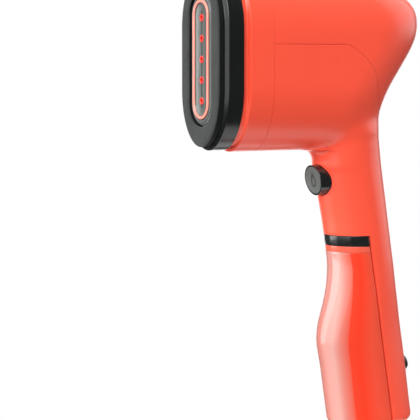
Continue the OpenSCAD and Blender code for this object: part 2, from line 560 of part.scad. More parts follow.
module power_switch() color([0.12, 0.12, 0.13]) power_frame() {
  translate([-4, -4, -14]) cube([8, 8, 5]);
  translate([0, 0, -9.2]) cylinder(h = 2.9, r = 1.2);
}

// ---------- wiring and screws ----------
module mains_wires() color([0.2, 0.25, 0.6]) for (y = [-1, 1])
  sweep([[22, y * 5.4, -95], [18, y * 6, -78], [12.5, y * 9, -50], [7, y * 10.3, -20], [2.5, y * 10.3, 5],
    [2.5, y * 10.3, 33], [0, y * 8.6, 52], [-12, y * 4.8, 76]], 1, 0, 6);
module heater_wires() color([0.7, 0.1, 0.1]) for (y = [-9.5, 9.5])
  sweep([[-66.6, y, head_z - 18], [-63.5, y, head_z - 18], [-60, y * 1.25, head_z - 19], [-54, y * 1.2, head_z - 25], [-38, y, head_z - 26]], 1.2, 0, 6);
module case_screws() color(steel) for (p = case_screw_at) {
  bar_y(-8, p[2], p[0], p[1], 1.3);
  bar_y(p[2], p[2] + 1.8, p[0], p[1], 2.5);
}
function valve_origin() = [valve_x, 0, dock_z0];
module valve_frame() { translate(valve_origin()) rotate([0, -lean, 0]) children(); }

front_collar();
rear_cover();
body_left();
body_right();
spine_wall();
base_cap();
bezel();
pad_frame();
pad_fabric();
steam_plate();
plate_trim();
steam_nozzles();
plate_gasket();
heater_block();
heating_element();
heater_cover();
heater_screws();
water_inlet();
heater_carrier();
thermostat();
thermal_fuse();
control_board();
board_posts();
board_parts();
pump_body();
pump_coil();
pump_rubber();
inlet_hose();
outlet_hose();
trigger_button();
trigger_cap();
trigger_mark();
trigger_guide();
trigger_spring();
trigger_switch();
tank_dock();
dock_seal();
tank_cap();
tank_body();
tank_valve();
tank_plug();
power_button();
power_guide();
power_spring();
power_switch();
cord_gland();
cord_clamp();
terminal_block();
mains_wires();
heater_wires();
case_screws();
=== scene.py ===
# Handheld garment steamer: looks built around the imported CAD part.
import json
import math

import bmesh
import bpy
import numpy as np
from mathutils import Matrix, Vector


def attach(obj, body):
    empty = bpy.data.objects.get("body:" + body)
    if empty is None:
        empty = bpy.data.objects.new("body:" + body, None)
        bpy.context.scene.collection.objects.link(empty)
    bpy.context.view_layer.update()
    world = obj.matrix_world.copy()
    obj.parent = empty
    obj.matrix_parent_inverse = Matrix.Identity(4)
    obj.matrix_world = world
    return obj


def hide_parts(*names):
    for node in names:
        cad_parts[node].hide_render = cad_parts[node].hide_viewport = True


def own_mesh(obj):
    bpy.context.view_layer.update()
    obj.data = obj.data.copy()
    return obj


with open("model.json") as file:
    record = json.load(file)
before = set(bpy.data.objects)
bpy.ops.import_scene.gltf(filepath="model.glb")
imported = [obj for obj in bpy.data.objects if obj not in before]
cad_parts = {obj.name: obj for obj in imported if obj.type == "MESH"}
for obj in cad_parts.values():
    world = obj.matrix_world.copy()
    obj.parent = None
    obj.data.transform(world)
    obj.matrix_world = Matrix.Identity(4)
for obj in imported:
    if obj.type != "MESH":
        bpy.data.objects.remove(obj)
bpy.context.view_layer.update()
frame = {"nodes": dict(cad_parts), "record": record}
MM = 0.001
scene = bpy.context.scene
scene.view_settings.view_transform = "Standard"

# ---------------------------------------------------------------- camera
VIEW_AZ, VIEW_EL = math.radians(-28.8), math.radians(4.8)
back = Vector((math.sin(VIEW_AZ) * math.cos(VIEW_EL), -math.cos(VIEW_AZ) * math.cos(VIEW_EL), math.sin(VIEW_EL)))
right = Vector((math.cos(VIEW_AZ), math.sin(VIEW_AZ), 0))
up = back.cross(right)
cam = bpy.data.objects.new("camera", bpy.data.cameras.new("camera"))
scene.collection.objects.link(cam)
axes = Matrix((right, up, back)).transposed().to_4x4()
cam.matrix_world = Matrix.Translation((-0.5274, -0.7924, 0.08189)) @ axes
cam.data.sensor_width = 36
cam.data.lens = 145.71
cam.data.clip_start, cam.data.clip_end = 0.01, 50
scene.camera = cam

# ---------------------------------------------------------------- sizes shared with the CAD, in mm
HEAD_Z, HEAD_H, HEAD_R = 86.0, 49.2, 24.3
# The head's end arcs are longer than the CAD's round ones: half straight length, arc height and stretch
ARC_S, ARC_H, ARC_K = 14.2, 35.0, 1.44
CHIN = HEAD_Z - HEAD_H
TOP = HEAD_Z + HEAD_H
SEAM_X, SEAM_Z, JOIN_X, REAR_ROUND = -66.3, 94.0, -36.0, 36.0
WALL, GAP = 2.2, 0.15
GRIP_W, GRIP_FRONT, WEB_X, WEB_W = 17.5, -24.6, 14.0, 12.0
DOCK_TOP, DOCK_LOW, CAP_LOW, BASE, FOOT_R = -11.0, -16.8, -20.0, -119.0, 5.0
PART_X, PART_LEAN, TANK_GAP, TANK_WALL = 0.45, 0.159, 0.35, 1.8
LEAN = math.atan(PART_LEAN)
FACE_X = -98.2
PLATE_X, PLATE_S = FACE_X + 1, 23.2
HOLE_COUNT, HOLE_PITCH, HOLE_R = 5, 10.95, 2.05
BEZEL_X0, BEZEL_X1, BEZEL_R, BEZEL_S = -94.6, -84.1, 23.4, 24.9
# Rings round the steam plate: radius, half straight length and stretch of the end arcs
OPENING, PAD_RIM = (12.3, 23.3, 1), (20.5, 16.5, 1.458)
TRIG_X, TRIG_Z, TRIG_R, TRIG_SLANT = -27.1, 19.8, 8.4, -math.tan(math.radians(10.8))
POWER_Z, LENS_R = -86.7, 4.6
GLAND_X = 25.0
PLUG_X = -1.0

REAR = [(TOP, -36), (134.6, -22), (133.2, -10), (130.6, 4), (126.4, 19), (121, 30), (114, 36.6), (107, 38.2),
        (100, 37.4), (94, 35), (86, 30), (78, 24.5), (70, 19.2), (63, 15.8), (57, 13.8), (50, 13), (43.5, 13),
        (39.2, 13.5), (36.8, 13.8), (33.5, 14.2), (29, 14.8), (22, 15.8), (12, 17.4), (0, 19.2), (-11, 20.9),
        (-16.8, 21.8), (-27, 23.5), (-38, 25.2), (-50, 27.2), (-62, 29.2), (-70, 30.6), (-82, 32.6), (-98, 35),
        (-112, 37.1), (-119, 38.2)]
FRONT = [(36.8, -36), (36, -29.6), (33.5, -26.8), (29, -24.8), (22, -23.2), (12, -21.4), (0, -18.9), (-11, -17),
         (-16.8, -16.2), (-27, -14.9), (-38, -15.3), (-50, -17.9), (-62, -21.5), (-70, -22.3), (-82, -20.4),
         (-98, -17.8), (-112, -15.6), (-119, -14.5)]
SEAM = [(57, 13.8), (58.5, 9.5), (62, 5.2), (68, 1.8), (76, -0.6), (83, -4.9), (88.8, -11.2), (92.6, -17.5),
        (94, -22)]


# ---------------------------------------------------------------- curves
def spline(points, start=None, end=None, steps=40):
    """Dense points of a cubic spline by chord length; start and end fix the end directions."""
    p = np.array(points, float)
    s = np.concatenate([[0], np.cumsum(np.linalg.norm(np.diff(p, axis=0), axis=1))])
    h = np.diff(s)
    n = len(p)
    a = np.zeros((n, n))
    b = np.zeros((n, p.shape[1]))
    for i in range(1, n - 1):
        a[i, i - 1:i + 2] = 1 / h[i - 1], 2 / h[i - 1] + 2 / h[i], 1 / h[i]
        b[i] = 3 * ((p[i] - p[i - 1]) / h[i - 1] ** 2 + (p[i + 1] - p[i]) / h[i] ** 2)
    for i, j, want in ((0, 1, start), (n - 1, n - 2, end)):
        if want is None:
            k = min(i, j)
            a[i, i], a[i, j], b[i] = 2, 1, 3 * (p[k + 1] - p[k]) / h[k]
        else:
            a[i, i], b[i] = 1, want
    m = np.linalg.solve(a, b)
    out = []
    for i in range(n - 1):
        t = np.linspace(0, 1, steps, endpoint=False)[:, None]
        out.append((2 * t ** 3 - 3 * t ** 2 + 1) * p[i] + (t ** 3 - 2 * t ** 2 + t) * h[i] * m[i]
                   + (3 * t ** 2 - 2 * t ** 3) * p[i + 1] + (t ** 3 - t ** 2) * h[i] * m[i + 1])
    return np.concatenate(out + [p[-1:]])


rear_line = spline(REAR, start=(0, 1))[::-1]
front_line = spline(FRONT, start=(0, 1))[::-1]
seam_line = spline(SEAM, end=(0, -1))
seam_full = np.concatenate([seam_line, [[SEAM_Z, -30], [SEAM_Z, -80]]])


def rear_x(z):
    return np.interp(z, rear_line[:, 0], rear_line[:, 1])


def front_x(z):
    return np.where(z >= CHIN, JOIN_X, np.interp(z, front_line[:, 0], front_line[:, 1]))


def seam_x(z):
    return np.interp(z, seam_line[:, 0], seam_line[:, 1])


def foot(z):
    """How far the edge rounding at the foot pulls the outline in."""
    d = np.clip(BASE + FOOT_R - z, 0, FOOT_R)
    return FOOT_R - np.sqrt(FOOT_R * FOOT_R - d * d)


def seam_distance(x, z):
    """Distance of (x, z) from the seam of the rear cover, seen from the side."""
    a, b = seam_full[:-1, ::-1], seam_full[1:, ::-1]
    p = np.stack([x, z], -1)[..., None, :]
    ab = b - a
    t = np.clip(((p - a) * ab).sum(-1) / (ab * ab).sum(-1), 0, 1)
    return np.sqrt((((a + t[..., None] * ab) - p) ** 2).sum(-1)).min(-1)


def dome(x, a, b, w):
    """Half width at x of an ellipse of half width w between a and b."""
    m, h = (a + b) / 2, (b - a) / 2
    return w * np.sqrt(np.clip(1 - ((x - m) / h) ** 2, 0, None))


def head_w(z, e):
    """Half width of the head at height z, pulled in by e."""
    t = np.clip(abs(z - HEAD_Z) - ARC_S, 0, None) / (ARC_H - e)
    return (HEAD_R - e) * np.sqrt(np.clip(1 - t * t, 0, None))


def body_w(x, z, f, r, e):
    """Half width of the body at (x, z) between front f and rear r, pulled in by e."""
    chin = CHIN + e
    above = z > chin
    over = np.where(above, np.sqrt(np.clip(1 - (np.clip(x - r + REAR_ROUND, 0, None) / REAR_ROUND) ** 2, 0, None)), 0)
    c = np.clip((75 - z) / 30, 0, 1)
    fade = np.where(z > 45, c * c * (3 - 2 * c), 1)
    nose = np.where(above, JOIN_X + e - 0.6 * (z - chin), f)
    grip = dome(x, np.maximum(nose, GRIP_FRONT + e), r, GRIP_W - e) * fade
    web = np.where(z > 26, dome(x, nose, np.minimum(-2 * WEB_X - nose, r - 4), WEB_W - e) * fade, 0)
    head = np.where(above, head_w(z, e) * over, 0)
    return (head ** 6 + grip ** 6 + web ** 6) ** (1 / 6)


def body_point(x, z, side, e):
    """Point of the shell at (x, z), pulled in by e."""
    shift = np.where(z >= CHIN, -e * (z - HEAD_Z) / HEAD_H, e * np.clip((z - 20) / (CHIN - 20), 0, None))
    drop = np.clip((CHIN - z) / 4, 0, 1)
    k = foot(z)
    w = body_w(x, z + shift, front_x(z) + e * drop + k, rear_x(z) - e - k, e + k)
    return np.stack([x, side * w, z + shift], -1)


def part_at(z):
    """X of the plane between the tank and the spine."""
    return PART_X + PART_LEAN * (DOCK_LOW - z)


def fillet(d, f=0.2):
    """How deep a rounded edge of radius f lies at distance d from the edge."""
    u = np.clip(f - d, 0, f)
    return f - np.sqrt(f * f - u * u)


# ---------------------------------------------------------------- materials
def nodes_of(name):
    """New material with a Principled shader: material, node tree, shader and object coordinates."""
    mat = bpy.data.materials.new(name)
    mat.use_nodes = True
    nt = mat.node_tree
    nt.nodes.clear()
    out = nt.nodes.new("ShaderNodeOutputMaterial")
    bsdf = nt.nodes.new("ShaderNodeBsdfPrincipled")
    nt.links.new(bsdf.outputs[0], out.inputs[0])
    coord = nt.nodes.new("ShaderNodeTexCoord")
    return mat, nt, bsdf, coord.outputs["Object"]


def node(nt, kind, **values):
    n = nt.nodes.new(kind)
    for key, value in values.items():
        if key in n.inputs:
            n.inputs[key].default_value = value
        else:
            setattr(n, key, value)
    return n


def noise(nt, where, scale, detail=3.0, rough=0.55, stretch=None):
    n = node(nt, "ShaderNodeTexNoise", Scale=scale, Detail=detail, Roughness=rough)
    if stretch:
        m = node(nt, "ShaderNodeMapping", Scale=stretch)
        nt.links.new(where, m.inputs["Vector"])
        where = m.outputs[0]
    nt.links.new(where, n.inputs["Vector"])
    return n.outputs["Fac"]


def spread(nt, value, low, high, a=0.3, b=0.7):
    """Maps value from a..b to low..high."""
    m = node(nt, "ShaderNodeMapRange")
    m.inputs["From Min"].default_value, m.inputs["From Max"].default_value = a, b
    m.inputs["To Min"].default_value, m.inputs["To Max"].default_value = low, high
    nt.links.new(value, m.inputs["Value"])
    return m.outputs[0]


def tint(nt, value, dark, light):
    """Colour between dark and light by value."""
    m = node(nt, "ShaderNodeMix", data_type="RGBA")
    nt.links.new(value, m.inputs[0])
    m.inputs[6].default_value = (*dark, 1)
    m.inputs[7].default_value = (*light, 1)
    return m.outputs[2]


def add_bump(nt, bsdf, height, distance, strength=1.0, normal=None):
    b = node(nt, "ShaderNodeBump", Distance=distance, Strength=strength)
    nt.links.new(height, b.inputs["Height"])
    if normal is not None:
        nt.links.new(normal, b.inputs["Normal"])
    nt.links.new(b.outputs[0], bsdf.inputs["Normal"])
    return b.outputs[0]


def surface(name, colour, rough, vary=0.05, cloud=40, rough_vary=0.05, grain=0.00001, grain_scale=1400,
            stretch=None, **sockets):
    """Moulded, cast or drawn surface: cloudy colour, uneven gloss and a fine grain."""
    mat, nt, bsdf, where = nodes_of(name)
    colour = np.array(colour, float)
    cloudy = spread(nt, noise(nt, where, cloud), 0, 1)
    nt.links.new(tint(nt, cloudy, np.clip(colour * (1 - vary), 0, 1), np.clip(colour * (1 + vary), 0, 1)),
                 bsdf.inputs["Base Color"])
    nt.links.new(spread(nt, noise(nt, where, cloud * 6, 4, stretch=stretch), max(0.02, rough - rough_vary),
                        rough + rough_vary), bsdf.inputs["Roughness"])
    add_bump(nt, bsdf, noise(nt, where, grain_scale, 2, stretch=stretch), grain)
    for key, value in sockets.items():
        bsdf.inputs[key.replace("_", " ")].default_value = value
    return mat


def lin(r, g, b):
    """Linear colour from 0-255 display values."""
    return tuple((v / 255 / 12.92) if v <= 10 else ((v / 255 + 0.055) / 1.055) ** 2.4 for v in (r, g, b))


CORAL = lin(243, 82, 58)
M = {}
M["coral_shell"] = surface("coral_shell", CORAL, 0.3, 0.01, 25, 0.015, 0.000002, 1800, Specular_IOR_Level=0.5)
M["coral_cap"] = surface("coral_cap", lin(222, 88, 66), 0.22, 0.03, 60, 0.04, 0.000003, 1500, Coat_Weight=0.4)
M["gloss_black"] = surface("gloss_black", lin(18, 20, 20), 0.2, 0.12, 60, 0.05, 0.000003, 1600, Coat_Weight=0.2)
M["bezel_black"] = surface("bezel_black", lin(12, 14, 14), 0.22, 0.15, 60, 0.05, 0.000006, 1800)
M["pad_binding"] = surface("pad_binding", lin(13, 14, 14), 0.7, 0.15, 90, 0.08, 0.00003, 1500,
                           Specular_IOR_Level=0.2)
M["matte_black"] = surface("matte_black", lin(42, 43, 44), 0.55, 0.12, 80, 0.08, 0.00002, 1500)
M["plate_grey"] = surface("plate_grey", lin(100, 104, 101), 0.36, 0.05, 120, 0.08, 0.000008, 1500,
                          stretch=(1, 1, 0.12), Metallic=0.55)
M["cap_grey"] = surface("cap_grey", lin(84, 87, 85), 0.42, 0.04, 90, 0.05, 0.000012, 2600)
M["trim_coral"] = surface("trim_coral", lin(244, 140, 124), 0.2, 0.03, 90, 0.04, 0.000003, 1600, Coat_Weight=0.6)
M["nozzle_red"] = surface("nozzle_red", lin(222, 60, 48), 0.3, 0.08, 150, 0.06, 0.000006, 1900)
M["red_silicone"] = surface("red_silicone", lin(190, 70, 55), 0.55, 0.06, 90, 0.08, 0.00001, 1500)
M["cast_aluminium"] = surface("cast_aluminium", (0.62, 0.63, 0.65), 0.45, 0.08, 120, 0.1, 0.00005, 900, Metallic=1.0)
M["element_steel"] = surface("element_steel", (0.33, 0.31, 0.3), 0.38, 0.12, 150, 0.1, 0.00001, 1500, Metallic=1.0)
M["steel"] = surface("steel", (0.62, 0.62, 0.64), 0.25, 0.06, 150, 0.08, 0.000006, 1800, Metallic=1.0,
                     stretch=(0.1, 1, 1))
M["brass"] = surface("brass", (0.78, 0.56, 0.24), 0.28, 0.1, 150, 0.08, 0.000008, 1500, Metallic=1.0)
M["white_plastic"] = surface("white_plastic", (0.8, 0.79, 0.74), 0.45, 0.03, 70, 0.06, 0.00001, 1500)
M["black_rubber"] = surface("black_rubber", lin(34, 34, 35), 0.6, 0.12, 90, 0.08, 0.00002, 1700)
M["clear_silicone"] = surface("clear_silicone", (0.82, 0.8, 0.76), 0.42, 0.04, 90, 0.06, 0.00001, 1300,
                              Subsurface_Weight=0.2, Subsurface_Scale=0.002)
M["wire_blue"] = surface("wire_blue", (0.04, 0.08, 0.42), 0.4, 0.06, 150, 0.06, 0.000008, 1500)
M["wire_red"] = surface("wire_red", (0.5, 0.02, 0.02), 0.4, 0.06, 150, 0.06, 0.000008, 1500)


def board_material():
    mat, nt, bsdf, where = nodes_of("board_green")
    v = node(nt, "ShaderNodeTexVoronoi", feature="DISTANCE_TO_EDGE", distance="MANHATTAN", Scale=260.0)
    nt.links.new(where, v.inputs["Vector"])
    tracks = spread(nt, v.outputs[0], 1, 0, 0.05, 0.12)
    nt.links.new(tint(nt, tracks, (0.012, 0.12, 0.04), (0.03, 0.2, 0.07)), bsdf.inputs["Base Color"])
    nt.links.new(spread(nt, noise(nt, where, 400), 0.25, 0.4), bsdf.inputs["Roughness"])
    add_bump(nt, bsdf, tracks, 0.00004)
    return mat


def coil_material():
    mat, nt, bsdf, where = nodes_of("copper_coil")
    w = node(nt, "ShaderNodeTexWave", wave_type="BANDS", bands_direction="Z", Scale=320.0, Distortion=0.6)
    nt.links.new(where, w.inputs["Vector"])
    # painted light: the dark bands are painted shade between the turns of wire, the light bands painted highlights
    # along each turn
    nt.links.new(tint(nt, w.outputs["Fac"], (0.34, 0.11, 0.04), (0.8, 0.36, 0.16)), bsdf.inputs["Base Color"])
    nt.links.new(spread(nt, noise(nt, where, 300), 0.25, 0.42), bsdf.inputs["Roughness"])
    add_bump(nt, bsdf, w.outputs["Fac"], 0.0002)
    bsdf.inputs["Metallic"].default_value = 0.8
    return mat


def pile_material():
    """Short velvet pile: fibre tips catch light (painted highlights in the colour), with brushed patches."""
    mat, nt, bsdf, where = nodes_of("pad_pile")
    fibres = noise(nt, where, 3200, 3, 0.7)
    brushed = noise(nt, where, 130, 4, 0.6, (1, 1, 0.5))
    mixed = node(nt, "ShaderNodeMath", operation="MULTIPLY_ADD")
    nt.links.new(fibres, mixed.inputs[0])
    mixed.inputs[1].default_value = 0.65
    half = node(nt, "ShaderNodeMath", operation="MULTIPLY")
    nt.links.new(brushed, half.inputs[0])
    half.inputs[1].default_value = 0.35
    nt.links.new(half.outputs[0], mixed.inputs[2])
    # painted highlight: the fibre speckles lighten the colour where fibre tips catch light; the brushed patches vary
    # the tone
    nt.links.new(tint(nt, spread(nt, mixed.outputs[0], 0, 1, 0.34, 0.66), lin(33, 35, 35), lin(64, 66, 65)),
                 bsdf.inputs["Base Color"])
    nt.links.new(spread(nt, brushed, 0.82, 0.97), bsdf.inputs["Roughness"])
    add_bump(nt, bsdf, fibres, 0.00022, 0.9)
    bsdf.inputs["Sheen Weight"].default_value = 0.2
    bsdf.inputs["Sheen Roughness"].default_value = 0.4
    bsdf.inputs["Sheen Tint"].default_value = (0.8, 0.82, 0.82, 1)
    bsdf.inputs["Specular IOR Level"].default_value = 0.15
    return mat


def tank_material():
    """Tinted clear moulding: pale where light goes through (painted light), deep where the spine stands behind,
    darker where the wall turns edge-on (painted shade).
    """
    mat, nt, bsdf, where = nodes_of("tank_clear")
    out = next(n for n in nt.nodes if n.type == "OUTPUT_MATERIAL")
    wrap = node(nt, "ShaderNodeAttribute", attribute_name="wrap")
    flow = noise(nt, where, 22, 2, stretch=(1, 1, 0.3))
    shift = node(nt, "ShaderNodeMath", operation="MULTIPLY_ADD")
    nt.links.new(flow, shift.inputs[0])
    shift.inputs[1].default_value = 6.0
    nt.links.new(wrap.outputs["Fac"], shift.inputs[2])
    fac = spread(nt, shift.outputs[0], 0, 1, -30, 60)
    # painted light: the pale stops stand in for light shining through the clear walls; the darker last stop is
    # painted shade towards the front edge
    ramp = nt.nodes.new("ShaderNodeValToRGB")
    nt.links.new(fac, ramp.inputs[0])
    stops = [(0.0, lin(250, 92, 66)), (0.2, lin(252, 70, 42)), (0.355, lin(246, 74, 48)),
             (0.372, lin(236, 104, 84)), (0.5, lin(226, 138, 124)), (0.62, lin(224, 170, 160)),
             (0.8, lin(222, 160, 150)), (1.0, lin(208, 120, 108))]
    e = ramp.color_ramp.elements
    e[0].position, e[0].color = stops[0][0], (*stops[0][1], 1)
    e[1].position, e[1].color = stops[-1][0], (*stops[-1][1], 1)
    for at, c in stops[1:-1]:
        e.new(at).color = (*c, 1)
    # painted shade: the colour darkens where the surface turns edge-on, standing in for the wall seen edge-on
    facing = node(nt, "ShaderNodeLayerWeight", Blend=0.5)
    rim = node(nt, "ShaderNodeMix", data_type="RGBA", blend_type="MULTIPLY")
    nt.links.new(spread(nt, facing.outputs["Facing"], 0, 1, 0.55, 0.88), rim.inputs[0])
    nt.links.new(ramp.outputs[0], rim.inputs[6])
    rim.inputs[7].default_value = (0.55, 0.28, 0.26, 1)
    nt.links.new(rim.outputs[2], bsdf.inputs["Base Color"])
    nt.links.new(spread(nt, noise(nt, where, 220), 0.07, 0.12), bsdf.inputs["Roughness"])
    add_bump(nt, bsdf, flow, 0.00003)
    bsdf.inputs["Coat Weight"].default_value = 0.1
    clear = node(nt, "ShaderNodeBsdfTransparent")
    nt.links.new(rim.outputs[2], clear.inputs[0])
    mix = node(nt, "ShaderNodeMixShader")
    mix.inputs[0].default_value = 0.7
    nt.links.new(clear.outputs[0], mix.inputs[1])
    nt.links.new(bsdf.outputs[0], mix.inputs[2])
    nt.links.new(mix.outputs[0], out.inputs[0])
    return mat


M["board_green"] = board_material()
M["copper_coil"] = coil_material()
M["pad_pile"] = pile_material()
M["tank_clear"] = tank_material()


# ---------------------------------------------------------------- mesh helpers
def piece(name, verts, faces, material, body, slot, stands_for=(), sharp=38, flat_faces=False, weld=0.002):
    """Visible piece from points in mm: welded, normals outward, riding a body and standing for CAD nodes."""
    mesh = bpy.data.meshes.new(name)
    mesh.from_pydata((np.asarray(verts, float) * MM).tolist(), [], faces)
    bm = bmesh.new()
    bm.from_mesh(mesh)
    bmesh.ops.remove_doubles(bm, verts=bm.verts, dist=weld * MM)
    bmesh.ops.dissolve_degenerate(bm, edges=bm.edges, dist=weld * MM * 0.5)
    bmesh.ops.delete(bm, geom=[v for v in bm.verts if not v.link_faces], context="VERTS")
    bmesh.ops.recalc_face_normals(bm, faces=bm.faces)
    bm.to_mesh(mesh)
    bm.free()
    obj = bpy.data.objects.new(name, mesh)
    scene.collection.objects.link(obj)
    for m in material if isinstance(material, (list, tuple)) else [material]:
        mesh.materials.append(M[m])
    finish_piece(obj, body, stands_for, sharp, flat_faces)
    return obj


def finish_piece(obj, body, stands_for=(), sharp=38, flat_faces=False):
    obj.data.polygons.foreach_set("use_smooth", [True] * len(obj.data.polygons))
    obj.data.set_sharp_from_angle(angle=math.radians(sharp))
    if flat_faces:
        mod = obj.modifiers.new("normals", "WEIGHTED_NORMAL")
        mod.keep_sharp = True
        mod.weight = 80
    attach(obj, body)
    if stands_for:
        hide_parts(*stands_for)


def cut(obj, *cutters):
    """Takes the cutters out of obj and removes them."""
    for c in cutters:
        mod = obj.modifiers.new("cut", "BOOLEAN")
        mod.operation, mod.solver, mod.object = "DIFFERENCE", "EXACT", c
    dg = bpy.context.evaluated_depsgraph_get()
    mesh = bpy.data.meshes.new_from_object(obj.evaluated_get(dg))
    obj.modifiers.clear()
    obj.data = mesh
    for c in cutters:
        bpy.data.objects.remove(c)


def loose(name, verts, faces):
    """Plain cutter, which is removed again by cut()."""
    mesh = bpy.data.meshes.new(name)
    mesh.from_pydata((np.asarray(verts, float) * MM).tolist(), [], faces)
    bm = bmesh.new()
    bm.from_mesh(mesh)
    bmesh.ops.recalc_face_normals(bm, faces=bm.faces)
    bm.to_mesh(mesh)
    bm.free()
    obj = bpy.data.objects.new(name, mesh)
    scene.collection.objects.link(obj)
    return obj


def rod(name, start, end, radius, n=64):
    """A plain cutter between two points."""
    a, b = np.array(start, float), np.array(end, float)
    d = (b - a) / np.linalg.norm(b - a)
    u = np.cross(d, [0.0, 1, 0] if abs(d[1]) < 0.9 else [1.0, 0, 0])
    u /= np.linalg.norm(u)
    v = np.cross(d, u)
    t = np.linspace(0, 2 * np.pi, n, endpoint=False)[:, None]
    ring = radius * (np.cos(t) * u + np.sin(t) * v)
    faces = [(i, (i + 1) % n, n + (i + 1) % n, n + i) for i in range(n)]
    return loose(name, np.concatenate([a + ring, b + ring]),
                 faces + [tuple(range(n))[::-1], tuple(range(n, 2 * n))])


def rounded(points, radii, steps=5):
    """Closed outline with its corners rounded by radii (one number or one each)."""
    p = np.array(points, float)
    n = len(p)
    radii = [radii] * n if np.isscalar(radii) else radii
    out = []
    for i in range(n):
        a, b, c = p[i - 1], p[i], p[(i + 1) % n]
        u, v = (a - b), (c - b)
        lu, lv = np.linalg.norm(u), np.linalg.norm(v)
        u, v = u / lu, v / lv
        half = math.acos(max(-1, min(1, float(u @ v)))) / 2
        if radii[i] <= 0 or half > 1.55:
            out.append(b)
            continue
        t = min(radii[i] / math.tan(half), lu * 0.48, lv * 0.48)
        r = t * math.tan(half)
        centre = b + (u + v) / np.linalg.norm(u + v) * math.hypot(r, t)
        s, e = b + u * t - centre, b + v * t - centre
        sweep = math.acos(max(-1, min(1, float(s @ e) / r / r)))
        for k in range(steps + 1):
            w = k / steps
            out.append(centre + (math.sin((1 - w) * sweep) * s + math.sin(w * sweep) * e) / math.sin(sweep))
    return np.array(out)


def stadium(s, arcs=26, line=6):
    """Centres and outward directions round a stadium of half straight length s."""
    c, d = [], []
    for sign in (1, -1):
        for a in np.linspace(0, np.pi, arcs + 1):
            c.append(sign * s)
            d.append((sign * math.cos(a), sign * math.sin(a)))
        for k in range(1, line):
            c.append(sign * s * (1 - 2 * k / line))
            d.append((-sign, 0))
    return np.array(c), np.array(d)


def ring_solid(profile, s, arcs=26, line=6, k=1.0):
    """Closed (radius, x) outline swept round a stadium, verts and faces. s is the half length of the straight part
    and k stretches the end arcs, each one value or one per point."""
    c, d = stadium(1.0, arcs, line)
    m, n = len(c), len(profile)
    pr = np.array(profile)
    v = np.zeros((m, n, 3))
    v[..., 0] = pr[None, :, 1]
    v[..., 1] = d[:, None, 0] * pr[None, :, 0]
    v[..., 2] = HEAD_Z + c[:, None] * s + d[:, None, 1] * pr[None, :, 0] * k
    faces = [(i * n + q, i * n + (q + 1) % n, ((i + 1) % m) * n + (q + 1) % n, ((i + 1) % m) * n + q)
             for i in range(m) for q in range(n)]
    return v.reshape(-1, 3), faces


def stretched(profile, inner, outer, arcs=40, line=4):
    """Ring whose ends change from inner to outer, each (radius, half straight length, stretch of the arcs)."""
    s, k = (np.interp(np.array(profile)[:, 0], [inner[0], outer[0]], [inner[i], outer[i]]) for i in (1, 2))
    return ring_solid(profile, s, arcs, line, k)


def disc_solid(profile, s, arcs=26, line=6):
    """Open (radius, x) profile from front centre to rear centre, closed by flat end faces."""
    c, d = stadium(s, arcs, line)
    m, n = len(c), len(profile)
    pr = np.array(profile)
    v = np.zeros((m, n, 3))
    v[..., 0] = pr[None, :, 1]
    v[..., 1] = d[:, None, 0] * pr[None, :, 0]
    v[..., 2] = HEAD_Z + c[:, None] + d[:, None, 1] * pr[None, :, 0]
    faces = [(i * n + k, i * n + k + 1, ((i + 1) % m) * n + k + 1, ((i + 1) % m) * n + k)
             for i in range(m) for k in range(n - 1)]
    faces += [tuple(i * n for i in range(m)), tuple(i * n + n - 1 for i in range(m))]
    return v.reshape(-1, 3), faces


def revolve(profile, n=64):
    """Closed (radius, height) outline turned about Z; points at radius 0 weld."""
    pr = np.array(profile, float)
    t = np.linspace(0, 2 * np.pi, n, endpoint=False)
    v = np.stack([np.outer(np.cos(t), pr[:, 0]), np.outer(np.sin(t), pr[:, 0]),
                  np.broadcast_to(pr[:, 1], (n, len(pr)))], -1)
    k = len(pr)
    faces = [(i * k + j, ((i + 1) % n) * k + j, ((i + 1) % n) * k + (j + 1) % k, i * k + (j + 1) % k)
             for i in range(n) for j in range(k) if not (pr[j, 0] < 1e-6 and pr[(j + 1) % k, 0] < 1e-6)]
    return v.reshape(-1, 3), faces


def grid_shell(outer, inner, cell):
    """Closed thick sheet from two grids of points and the cells that are present."""
    rows, cols = outer.shape[:2]
    n = rows * cols
    faces = []
    for i in range(rows - 1):
        for j in range(cols - 1):
            if not cell[i, j]:
                continue
            a, b, c, d = i * cols + j, i * cols + j + 1, (i + 1) * cols + j + 1, (i + 1) * cols + j
            faces += [(a, b, c, d), (n + d, n + c, n + b, n + a)]
            if i == 0 or not cell[i - 1, j]:
                faces.append((b, a, n + a, n + b))
            if i == rows - 2 or not cell[i + 1, j]:
                faces.append((d, c, n + c, n + d))
            if j == 0 or not cell[i, j - 1]:
                faces.append((a, d, n + d, n + a))
            if j == cols - 2 or not cell[i, j + 1]:
                faces.append((c, b, n + b, n + c))
    return np.concatenate([outer.reshape(-1, 3), inner.reshape(-1, 3)]), faces


# ---------------------------------------------------------------- body shells
EDGE = np.array([0, 0.015, 0.05, 0.1, 0.2])  # distances from an edge at which its rounding gets a row
SIDE_GAP = 0.02  # each half keeps this far from the middle plane


def body_rows():
    """Heights of the body shells' rows from the seam down to the dock."""
    arc = HEAD_Z - ARC_S - ARC_H * np.sin(np.linspace(0, np.pi / 2, 34))
    return np.concatenate([
        SEAM_Z - GAP / 2 - EDGE, np.arange(93.2, 72, -0.8), arc,
        [36.3, 35.6, 34.8, 33.9, 32.8, 31.6, 30.3, 29], np.arange(27.6, DOCK_TOP + 1, -1.4),
        (DOCK_TOP + GAP + EDGE)[::-1]])


def foot_rows():
    """Heights of the rows of the spine behind the tank."""
    return np.concatenate([[DOCK_TOP - 0.1], np.arange(-13, -113.5, -1.8),
                           BASE + FOOT_R - FOOT_R * np.sin(np.linspace(0, np.pi / 2, 10))])


